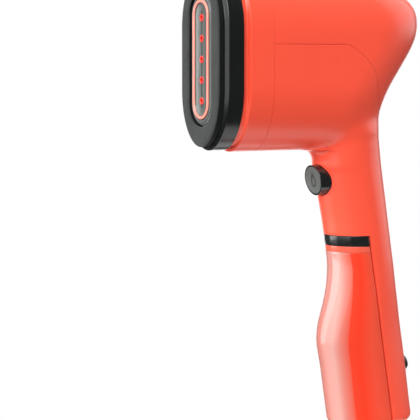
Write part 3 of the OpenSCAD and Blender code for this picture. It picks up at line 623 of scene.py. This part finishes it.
def half_shell(side):
    """Body half: n columns from rear to front, then barrel columns along the head. Column split lies on the
    parting plane below the dock."""
    n, barrel, split = 54, 12, 29
    up_z, low_z = body_rows(), foot_rows()
    z = np.concatenate([up_z, low_z])
    rows = len(z)
    e = WALL
    cols = n + barrel + 1
    x = {}
    for depth in (0.0, e):
        r = rear_x(z) - depth - foot(z)
        drop = np.clip((CHIN - z) / 4, 0, 1)
        f = np.where(z < CHIN, front_x(z) + depth * drop + foot(z), JOIN_X)
        start = np.where(z > 57, np.minimum(seam_x(z) - GAP, r), r)
        q = np.linspace(0, 1, n + 1)
        g = (1 - np.cos(np.pi * q)) / 2
        main = start[:, None] + (f - start)[:, None] * g
        # columns gather at the parting plane below the collar
        m, h = (r + f) / 2, (r - f) / 2
        stop = np.arccos(np.clip((part_at(z) - m) / h, -1, 1))
        j = np.arange(n + 1)
        lo = np.where(j <= split, stop[:, None] * np.minimum(j, split) / split,
                      stop[:, None] + (np.pi - stop)[:, None] * np.clip((j - split) / (n - split), 0, 1))
        low = m[:, None] + h[:, None] * np.cos(lo)
        blend = np.clip((20 - z) / 25, 0, 1)[:, None]
        blend = blend * blend * (3 - 2 * blend)
        main = main * (1 - blend) + low * blend
        front = JOIN_X + (SEAM_X - JOIN_X) * np.arange(1, barrel + 1) / barrel
        x[depth] = np.concatenate([main, np.broadcast_to(front, (rows, barrel))], 1)
    zz = np.broadcast_to(z[:, None], x[0.0].shape)
    # rounded edges at the seams
    d = np.where(zz > 56.5, seam_distance(x[0.0], zz) - GAP / 2, 9)
    step = np.arange(cols)[None, :]
    d = np.minimum(d, np.where((zz > DOCK_TOP) & (step > split), zz - DOCK_TOP - GAP, 9))
    arc_step = np.abs(step - split)
    low_edge = np.where((zz < DOCK_TOP) & (arc_step < 1), 0.0, 9.0)
    pull = np.maximum(fillet(np.maximum(d, 0)), fillet(low_edge))
    outer = body_point(x[0.0], zz, side, pull)
    inner = body_point(x[e], zz, side, e)
    outer[..., 1] += side * SIDE_GAP
    inner[..., 1] += side * SIDE_GAP
    cell = np.zeros((rows - 1, cols - 1), bool)
    zc = z[1:]
    for i in range(rows - 1):
        last = n + barrel if zc[i] >= CHIN - 1e-6 else n if zc[i] > DOCK_TOP else split
        cell[i, :last] = True
    return grid_shell(outer, inner, cell)


def outward(z):
    """Point and outward direction on the rear of the spine at height z."""
    return np.array([float(rear_x(z)), 0, z]), np.array([math.cos(LEAN), 0, math.sin(LEAN)])


def shell_half(name, side, stands_for):
    v, f = half_shell(side)
    obj = piece(name, v, f, "coral_shell", "housing", "coral_shell", stands_for)
    p, d = outward(POWER_Z)
    cut(obj, rod("cut_trigger", (-45, 0, TRIG_Z), (-12, 0, TRIG_Z), TRIG_R + 0.3, 96),
        rod("cut_power", p - d * 8, p + d * 6, LENS_R + 0.25))
    obj.data.set_sharp_from_angle(angle=math.radians(38))
    return obj


shell_half("body_shell_left", 1, ["body_left"])
shell_half("body_shell_right", -1, ["body_right"])


def cover_shell():
    """Upper and rear cover: c columns each side of the middle, then barrel columns along the head."""
    c, barrel = 34, 12
    top = HEAD_Z + ARC_S + ARC_H * np.sin(np.linspace(np.pi / 2, 0, 48))
    z = np.concatenate([top, np.arange(99.6, 94.8, -0.8), (SEAM_Z + GAP / 2 + EDGE)[::-1],
                        np.arange(93.3, 58, -0.7), [57.9, 57.5, 57.2]])
    rows = len(z)
    half = c + barrel
    j = np.abs(np.arange(-half, half + 1))
    side = np.where(np.arange(-half, half + 1) < 0, -1, 1)
    grids = []
    for depth in (0.0, WALL):
        r = rear_x(z) - depth
        tail = np.minimum(seam_x(z) + GAP, r)
        edge = np.where(z > SEAM_Z, r + (JOIN_X - r) * 0.81, tail)
        edge = np.where(z > SEAM_Z, np.minimum(edge, r), edge)
        main = r[:, None] + (edge - r)[:, None] * (1 - np.cos(np.pi / 2 * np.minimum(j, c) / c))
        k = np.clip(j - c, 0, barrel)
        ahead = np.where(k <= 4, edge[:, None] + (JOIN_X - edge)[:, None] * k / 4,
                         JOIN_X + (SEAM_X - JOIN_X) * (k - 4) / (barrel - 4))
        grids.append(np.where(j <= c, main, ahead))
    zz = np.broadcast_to(z[:, None], grids[0].shape)
    d = seam_distance(grids[0], zz) - GAP / 2
    d = np.minimum(d, grids[0] - SEAM_X)
    outer = body_point(grids[0], zz, side, fillet(np.maximum(d, 0)))
    inner = body_point(grids[1], zz, side, WALL)
    cell = np.ones((rows - 1, 2 * half), bool)
    for i in range(rows - 1):
        if z[i + 1] < SEAM_Z:
            cell[i, :barrel] = False
            cell[i, -barrel:] = False
    return grid_shell(outer, inner, cell)


piece("cover_shell", *cover_shell(), "coral_shell", "housing", "coral_shell", ["rear_cover"])

# ---------------------------------------------------------------- collar, bezel, pad
collar = rounded([(20.9, -84), (21.2, -84), (21.25, -82), (21.7, -81.2), (23.2, -80.8), (24.3, -80.6),
                  (24.3, SEAM_X - 0.1), (22, SEAM_X - 0.1), (22, -80), (20.9, -82)],
                 [0.1, 0.1, 0.6, 0.5, 0.6, 0.24, 0.12, 0, 0, 0], 6)
# the neck inside the collar keeps rounder ends than its rim
piece("collar_ring", *stretched(collar, (21.7, 23.4, 1.07), (24.2, ARC_S, ARC_K)), "coral_shell", "housing",
      "coral_shell", ["front_collar"], flat_faces=True)

bezel = rounded([(BEZEL_R, BEZEL_X1), (BEZEL_R, BEZEL_X0 + 1.5), (BEZEL_R - 1.2, BEZEL_X0 + 0.45),
                 (BEZEL_R - 1.45, BEZEL_X0 + 0.75), (BEZEL_R - 1.75, BEZEL_X0 + 0.55), (BEZEL_R - 2.3, BEZEL_X0),
                 (12.3, BEZEL_X0), (12.3, BEZEL_X0 + 2.2), (21, BEZEL_X0 + 2.2), (21, BEZEL_X1)],
                [0.3, 0.7, 0.22, 0.08, 0.1, 0.4, 0.2, 0, 0, 0.2], 6)
piece("bezel_ring", *stretched(bezel, OPENING, (20.8, BEZEL_S + BEZEL_R - ARC_K * BEZEL_R, ARC_K)), "bezel_black",
      "housing", "gloss_black", ["bezel"], flat_faces=True)

frame_ring = rounded([(20.45, FACE_X + 1.6), (20.45, BEZEL_X0 - 0.05), (12.4, BEZEL_X0 - 0.05), (12.4, FACE_X + 1.6)],
                     0.15, 3)
piece("pad_backing", *stretched(frame_ring, OPENING, PAD_RIM), "pad_binding", "pad", "matte_black", ["pad_frame"],
      flat_faces=True)


def pad_profile():
    """Section of the fabric ring: flat back, rolled edges, slightly crowned front."""
    a, b = OPENING[0], PAD_RIM[0]
    mid, h = (a + b) / 2, (b - a) / 2
    out = []
    for t in np.linspace(0, np.pi, 25):
        u = math.cos(t)
        out.append((mid + h * math.copysign(abs(u) ** 0.45, u), FACE_X + 0.9 - 0.9 * math.sin(t) ** 0.75))
    return out + [(a, FACE_X + 1.55), (b, FACE_X + 1.55)]


def pad_ring():
    """Pile in front, binding on the back."""
    v, f = stretched(pad_profile(), OPENING, PAD_RIM, 56, 40)
    obj = piece("pad_cloth", v, f, ["pad_pile", "pad_binding"], "pad", "pad_pile", ["pad_fabric"], sharp=75)
    for poly in obj.data.polygons:
        poly.material_index = int(poly.center.x > (FACE_X + 0.85) * MM)
    return obj


pad = pad_ring()

# ---------------------------------------------------------------- steam plate
HOLES = [HEAD_Z + (i - HOLE_COUNT // 2) * HOLE_PITCH for i in range(HOLE_COUNT)]
plate_profile = [(0.4, PLATE_X + 0.5), (6.2, PLATE_X + 0.5), (6.4, PLATE_X + 0.42), (6.5, PLATE_X + 0.2),
                 (6.6, PLATE_X + 0.05), (6.8, PLATE_X), (8.5, PLATE_X), (8.62, PLATE_X + 0.05), (8.7, PLATE_X + 0.2),
                 (8.75, PLATE_X + 0.5), (9.25, PLATE_X + 0.5), (9.3, PLATE_X + 0.2), (9.38, PLATE_X + 0.05),
                 (9.5, PLATE_X), (10.1, PLATE_X), (10.22, PLATE_X + 0.06), (10.3, PLATE_X + 0.25),
                 (10.4, PLATE_X + 0.45), (11, PLATE_X + 0.5), (11.2, PLATE_X + 0.58),
                 (11.3, PLATE_X + 0.75), (11.3, PLATE_X + 1.5), (11.9, PLATE_X + 1.6),
                 (11.9, PLATE_X + 6.2), (0.4, PLATE_X + 6.2)]
plate = piece("plate_body", *disc_solid(plate_profile, PLATE_S, 40, 4), "plate_grey", "housing", "plate_grey",
              ["steam_plate"])
groove = disc_solid([(0.1, PLATE_X - 1), (0.45, PLATE_X - 1), (0.45, PLATE_X + 1.0), (0.1, PLATE_X + 1.0)],
                    25.6, 8, 1)
cut(plate, *[rod("cut_hole", (PLATE_X - 2, 0, h), (PLATE_X + 8, 0, h), HOLE_R) for h in HOLES],
    loose("cut_groove", *groove))
finish_piece(plate, "housing", ["steam_plate"], 30)

trim = rounded([(6.75, PLATE_X + 0.05), (6.75, PLATE_X - 0.62), (8.45, PLATE_X - 0.62), (8.45, PLATE_X + 0.05)],
               [0, 0.42, 0.42, 0], 8)
piece("trim_ring", *ring_solid(trim, PLATE_S, 40, 4), "trim_coral", "housing", "trim_coral", ["plate_trim"],
      flat_faces=True)


def along_x(v, x, y, z):
    """Turns points made about Z so that their axis runs along X from x."""
    v = np.asarray(v)
    return np.stack([x + v[:, 2], y + v[:, 1], z - v[:, 0]], 1)


def nozzles():
    """A short tube in each hole of the plate."""
    verts, faces, base = [], [], 0
    outline = rounded([(1.25, 5.8), (1.25, -0.05), (1.95, -0.05), (2.03, 0.35), (2.03, 5.8)],
                      [0, 0.3, 0.25, 0.1, 0], 5)
    for h in HOLES:
        v, f = revolve(outline, 40)
        verts.append(along_x(v, PLATE_X + 0.2, 0, h))
        faces += [tuple(base + k for k in q) for q in f]
        base += len(v)
    return np.concatenate(verts), faces


piece("nozzle_tubes", *nozzles(), "nozzle_red", "housing", "nozzle_red", ["steam_nozzles"])


# ---------------------------------------------------------------- trigger
DISH, DISH_R = 0.35, 7.0


def slanted(profile, n=96, dish=0.0):
    """Closed (radius, depth) outline; depth runs inwards from the slanted face. A dish deepens the middle."""
    v, f = revolve(profile, n)
    y, z = v[:, 0].copy(), v[:, 1].copy()
    r = np.hypot(y, z)
    hollow = dish * np.clip(1 - (r / DISH_R) ** 2, 0, 1) * (v[:, 2] < 0.5)
    depth = v[:, 2] + hollow
    share = np.clip(1 - depth / 9, 0, 1)
    return np.stack([TRIG_X + z * TRIG_SLANT * share + depth, y, TRIG_Z + z], 1), f


def subdivided(profile, step=0.5):
    """The same closed outline with its long sides cut into short steps."""
    out = []
    p = [np.array(q, float) for q in profile]
    for i, a in enumerate(p):
        b = p[(i + 1) % len(p)]
        k = max(1, int(np.linalg.norm(b - a) / step)) if np.linalg.norm(b - a) > 1.2 else 1
        out += [a + (b - a) * s / k for s in range(k)]
    return out


button = rounded([(TRIG_R, 12), (TRIG_R, 0.1), (7.75, 0.1), (7.6, 1.4), (0, 1.4), (0, 2.4), (7.2, 2.4), (7.2, 12)],
                 [0, 0.35, 0.15, 0, 0, 0, 0, 0], 6)
piece("trigger_body", *slanted(button), "gloss_black", "trigger", "gloss_black", ["trigger_button"])
cap = subdivided(rounded([(0, 1.3), (7.5, 1.3), (7.5, 0), (0, 0)], [0, 0, 0.35, 0], 5))
piece("trigger_face", *slanted(cap, dish=DISH), "cap_grey", "trigger", "cap_grey", ["trigger_cap"], sharp=50)


def droplet():
    """A plain water-drop outline laid on the dished face."""
    half_line, raised = 0.75, 0.14
    t = np.linspace(0, 2 * np.pi, 49)[:-1]
    py = 2.5 * np.sin(t) * np.sin(t / 2) ** 1.2
    pz = 0.3 + 3.5 * np.cos(t)
    path = np.stack([py, pz], 1)
    tangent = np.roll(path, -1, 0) - np.roll(path, 1, 0)
    tangent /= np.maximum(np.linalg.norm(tangent, axis=1), 1e-9)[:, None]
    normal = np.stack([-tangent[:, 1], tangent[:, 0]], 1)
    k, n = 6, len(path)
    verts = []
    for i in range(n):
        for a in np.linspace(0, 2 * np.pi, k, endpoint=False):
            q = path[i] + normal[i] * half_line * math.cos(a)
            r = math.hypot(*q)
            depth = DISH * max(0, 1 - (r / DISH_R) ** 2) - raised * math.sin(a)
            verts.append((TRIG_X + q[1] * TRIG_SLANT + depth, q[0], TRIG_Z + q[1]))
    faces = [(i * k + a, i * k + (a + 1) % k, ((i + 1) % n) * k + (a + 1) % k, ((i + 1) % n) * k + a)
             for i in range(n) for a in range(k)]
    return verts, faces


piece("trigger_drop", *droplet(), "matte_black", "trigger", "matte_black", ["trigger_mark"])


# ---------------------------------------------------------------- tank
def d_section(z, e=0.0, corner=1.2, gap=TANK_GAP, n=30, rear=False):
    """Ring in front of the parting plane (or behind it) with rounded corners."""
    k = float(foot(z)) * (1 if e < 1 else 0)
    a = float(rear_x(z) - front_x(z)) / 2 - e - k
    c = float(rear_x(z) + front_x(z)) / 2
    w = GRIP_W - e - k
    flat = part_at(z) + (0.1 if rear else -gap - e)
    sign = -1 if rear else 1
    cx = flat - sign * corner
    cy = (w - corner) * math.sqrt(max(0, 1 - ((cx - c) / (a - corner)) ** 2))
    normal = np.array([(cx - c) / (a - corner) ** 2, cy / (w - corner) ** 2])
    normal /= np.linalg.norm(normal)
    side = [(flat, cy * t) for t in (0, 0.35, 0.7)]
    base = 0.0 if sign > 0 else math.pi
    end = math.atan2(normal[1], normal[0])
    for t in np.linspace(0, 1, 6):
        ang = base + (end - base) * t
        side.append((cx + corner * math.cos(ang), cy + corner * math.sin(ang)))
    q0 = math.atan2(normal[1] * w, normal[0] * a)
    q1 = math.pi if sign > 0 else 0.0
    for t in np.linspace(0, 1, n + 1)[1:]:
        q = q0 + (q1 - q0) * t
        side.append((c + a * math.cos(q), w * math.sin(q)))
    side = np.array(side)
    full = np.concatenate([side, (side * (1, -1))[-2:0:-1]])
    return np.column_stack([full, np.full(len(full), z)])


def loft(levels):
    """Solid from equal rings, top to bottom, with flat ends."""
    m, n = len(levels), len(levels[0])
    faces = [(i * n + k, i * n + (k + 1) % n, (i + 1) * n + (k + 1) % n, (i + 1) * n + k)
             for i in range(m - 1) for k in range(n)]
    return np.concatenate(levels), faces + [tuple(range(n)), tuple(range((m - 1) * n, m * n))]


def tank():
    """Hollow tank, open at its neck: outer rings, inner rings and the faces between them."""
    zs = np.concatenate([[CAP_LOW - 0.12, CAP_LOW - 0.2, CAP_LOW - 0.4], np.arange(-21.5, -113, -1.6),
                         BASE + FOOT_R - FOOT_R * np.sin(np.linspace(0, np.pi / 2, 12))])
    outer = [d_section(z, 0.12 if i == 0 else 0.03 if i == 1 else 0.0) for i, z in enumerate(zs)]
    zi = np.concatenate([[CAP_LOW - 0.12], np.arange(-21.5, -113, -3.2), [-114.6, -115.8, BASE + 2.2]])
    pull = [0.0] * (len(zi) - 2) + [0.6, 2.4]  # rounds the inner corner at the bottom
    inner = [d_section(z, TANK_WALL + more, 0.8) for z, more in zip(zi, pull)]
    n = len(outer[0])
    mo, mi = len(outer), len(inner)
    verts = np.concatenate(outer + inner)
    faces = []
    for base, m in ((0, mo), (mo * n, mi)):
        faces += [(base + i * n + k, base + i * n + (k + 1) % n, base + (i + 1) * n + (k + 1) % n,
                   base + (i + 1) * n + k) for i in range(m - 1) for k in range(n)]
    o = mo * n
    faces += [(k, (k + 1) % n, o + (k + 1) % n, o + k) for k in range(n)]
    faces += [tuple(range((mo - 1) * n, mo * n)), tuple(range(o + (mi - 1) * n, o + mi * n))]
    return verts, faces


FILL_R, SEAT_R, SEAT_D = 6, 8, 0.8
tank_obj = piece("tank_shell", *tank(), "tank_clear", "tank", "tank_clear", ["tank_body"], sharp=45)
strap = [[(x, y, z) for x, y in ((PLUG_X, -3.2), (PLUG_X + 12, -3.2), (PLUG_X + 12, 3.2), (PLUG_X, 3.2))]
         for z in (BASE - 1, BASE + 0.9)]
cut(tank_obj, rod("cut_fill", (PLUG_X, 0, BASE - 1), (PLUG_X, 0, BASE + 5), FILL_R),
    rod("cut_seat", (PLUG_X, 0, BASE - 1), (PLUG_X, 0, BASE + SEAT_D), SEAT_R), loose("cut_strap", *loft(strap)))
# degrees round the tank past the line where its pale front (painted light) turns deep red, for the material
wrap = tank_obj.data.attributes.new("wrap", "FLOAT", "POINT")
co = np.array([v.co for v in tank_obj.data.vertices]) / MM
mid, half = (rear_x(co[:, 2]) + front_x(co[:, 2])) / 2, (rear_x(co[:, 2]) - front_x(co[:, 2])) / 2
turned = np.degrees(np.abs(np.arctan2(co[:, 1] / GRIP_W, (co[:, 0] - mid) / half)))
edge = np.interp(co[:, 2], [-119, -90, -62, -40, -20], [131, 130, 128, 133, 137])
wrap.data.foreach_set("value", (turned - edge).astype(np.float32))
finish_piece(tank_obj, "tank", ["tank_body"], 45)

cap_levels = [d_section(DOCK_LOW - 0.05, 0.25), d_section(DOCK_LOW - 0.12, 0.1), d_section(DOCK_LOW - 0.3),
              d_section(CAP_LOW + 0.2), d_section(CAP_LOW + 0.05, 0.06), d_section(CAP_LOW, 0.18),
              d_section(CAP_LOW, TANK_WALL + 0.05, 0.8), d_section(CAP_LOW - 3, TANK_WALL + 0.05, 0.8)]
piece("tank_collar", *loft(cap_levels), "coral_cap", "tank", "coral_cap", ["tank_cap"], sharp=50, flat_faces=True)

dock_levels = [d_section(DOCK_TOP, 0.3), d_section(DOCK_TOP - 0.08, 0.12), d_section(DOCK_TOP - 0.3, 0.02),
               d_section(-12.5), d_section(-13.9, -0.06), d_section(-15.4), d_section(DOCK_LOW + 0.4, 0.02),
               d_section(DOCK_LOW + 0.18, 0.12), d_section(DOCK_LOW + 0.1, 0.3)]
piece("dock_band", *loft(dock_levels), "gloss_black", "housing", "gloss_black", ["tank_dock"], sharp=50,
      flat_faces=True)

# ---------------------------------------------------------------- power button, gland, foot
p, d = outward(POWER_Z)
turn = Vector(d).to_track_quat("Z", "Y").to_matrix()


def on_spine(v):
    return np.asarray(v) @ np.array(turn).T + p


dome_r = 9.0  # radius of the button's domed top
arc = [(dome_r * math.sin(t), 2.5 - dome_r + dome_r * math.cos(t)) for t in np.linspace(0, 0.43, 12)]
lens = [(r * 1.12, h) for r, h in arc] + [(4.4, 1.3), (LENS_R, 0.9), (LENS_R, -2.6), (4.1, -2.7), (4.1, -3.5),
                                         (4.7, -3.6), (4.7, -4.65), (0, -4.65)]
v, f = revolve(lens, 64)
piece("power_lens", on_spine(v), f, "gloss_black", "power_key", "gloss_black", ["power_button"], sharp=50)


def coil(radius, wire, length, turns, k=8, per=28):
    """Round wire wound about Z from 0 to length."""
    n = int(turns * per) + 1
    t = np.linspace(0, 2 * np.pi * turns, n)
    z = wire + (length - 2 * wire) * np.linspace(0, 1, n)
    mid = np.stack([radius * np.cos(t), radius * np.sin(t), z], 1)
    out = np.stack([np.cos(t), np.sin(t), 0 * t], 1)
    a = np.linspace(0, 2 * np.pi, k, endpoint=False)
    v = mid[:, None] + wire * (np.cos(a)[None, :, None] * out[:, None]
                               + np.sin(a)[None, :, None] * np.array([0, 0, 1.0]))
    faces = [(i * k + j, i * k + (j + 1) % k, (i + 1) * k + (j + 1) % k, (i + 1) * k + j)
             for i in range(n - 1) for j in range(k)]
    return v.reshape(-1, 3), faces + [tuple(range(k)), tuple(range((n - 1) * k, n * k))]


v, f = coil(3, 0.3, 3.3, 4)
spring = piece("power_coil", on_spine(v + (0, 0, -8)), f, "steel", "housing", "element_steel", ["power_spring"],
               sharp=60)
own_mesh(spring)
v, f = coil(5, 0.45, 8, 5)
spring = piece("trigger_coil", along_x(v, -19, 0, TRIG_Z), f, "steel", "housing", "element_steel", ["trigger_spring"],
               sharp=60)
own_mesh(spring)

gland = rounded([(3.3, 0), (5.1, 0), (5.1, 2.7), (6.2, 2.7), (6.2, 4.7), (5.1, 4.7), (5.1, 9), (3.3, 9)],
                [0.5, 0.5, 0, 0, 0, 0, 0.2, 0.3], 5)
v, f = revolve(gland, 64)
piece("gland_ring", v + (GLAND_X, 0, BASE), f, "black_rubber", "housing", "black_rubber", ["cord_gland"])
foot_levels = [d_section(BASE + up, WALL + inset, 1.5, rear=True)
               for up, inset in ((2.6, 0.2), (0.5, 0.2), (0.1, 0.35), (0, 0.6))]
foot_cap = piece("foot_cap", *loft(foot_levels), "coral_shell", "housing", "coral_shell", ["base_cap"], sharp=50)
cut(foot_cap, rod("cut_gland", (GLAND_X, 0, BASE - 1), (GLAND_X, 0, BASE + 4), 5.2))
finish_piece(foot_cap, "housing", ["base_cap"], 45)

# ---------------------------------------------------------------- carried-over CAD nodes
for name, obj in frame["nodes"].items():
    slot_name = next(s["material_slot"] for s in frame["record"]["subparts"] if s["node"] == name)
    obj.data.materials.clear()
    obj.data.materials.append(M.get(slot_name, M["white_plastic"]))

# ---------------------------------------------------------------- stage and light
FLOOR_R, FLOOR_Z, FLOOR_N = 0.25, -0.262, 64  # low enough for the tank to slide all the way off above it
floor_mesh = bpy.data.meshes.new("floor")
ring = [(FLOOR_R * math.cos(t), FLOOR_R * math.sin(t), FLOOR_Z)
        for t in np.linspace(0, 2 * np.pi, FLOOR_N, endpoint=False)]
floor_mesh.from_pydata(ring, [], [tuple(range(FLOOR_N))])
floor = bpy.data.objects.new("floor", floor_mesh)
scene.collection.objects.link(floor)
mat, nt, bsdf, where = nodes_of("floor")
nt.links.new(tint(nt, noise(nt, where, 3), (0.9, 0.9, 0.9), (0.93, 0.93, 0.93)), bsdf.inputs["Base Color"])
bsdf.inputs["Roughness"].default_value = 0.9
bsdf.inputs["Specular IOR Level"].default_value = 0.1
bsdf.inputs["Emission Color"].default_value = (1, 1, 1, 1)
bsdf.inputs["Emission Strength"].default_value = 0.12
floor_mesh.materials.append(mat)

world = bpy.data.worlds.new("world")
scene.world = world
world.use_nodes = True
wn = world.node_tree
wn.nodes.clear()
w_out = wn.nodes.new("ShaderNodeOutputWorld")
w_sky = node(wn, "ShaderNodeBackground", Color=(1, 1, 1, 1), Strength=0.16)
w_see = node(wn, "ShaderNodeBackground", Color=(1, 1, 1, 1), Strength=1.0)
w_mix = wn.nodes.new("ShaderNodeMixShader")
w_path = wn.nodes.new("ShaderNodeLightPath")
wn.links.new(w_path.outputs["Is Camera Ray"], w_mix.inputs[0])
wn.links.new(w_sky.outputs[0], w_mix.inputs[1])
wn.links.new(w_see.outputs[0], w_mix.inputs[2])
wn.links.new(w_mix.outputs[0], w_out.inputs[0])


def panel(name, azimuth, elevation, distance, width, height, radiance, aim=(0, 0, 0.02)):
    """Soft box facing the steamer: angles in degrees, sizes in m, unseen by the camera."""
    a, e = math.radians(azimuth), math.radians(elevation)
    lamp = bpy.data.lights.new(name, "AREA")
    lamp.shape, lamp.size, lamp.size_y = "RECTANGLE", width, height
    lamp.energy = radiance * math.pi * width * height
    obj = bpy.data.objects.new(name, lamp)
    scene.collection.objects.link(obj)
    away = Vector((math.sin(a) * math.cos(e), -math.cos(a) * math.cos(e), math.sin(e)))
    obj.location = Vector(aim) + away * distance
    obj.rotation_mode = "QUATERNION"
    obj.rotation_quaternion = away.to_track_quat("Z", "Y")
    obj.visible_camera = False


panel("key_left", -70, 14, 2.4, 2.2, 2.6, 1.6)
panel("rim_left", -117, 12, 2.4, 1.7, 2.6, 5.0)
panel("key_front", -40, 36, 2.6, 2.2, 1.6, 6.4)
panel("backdrop", 152, 5, 2.6, 2.2, 3.2, 1.8)
panel("fill_right", 84, 22, 2.6, 2.6, 2.6, 1.7)
panel("overhead", 0, 88, 2.4, 2.6, 2.6, 1.9)
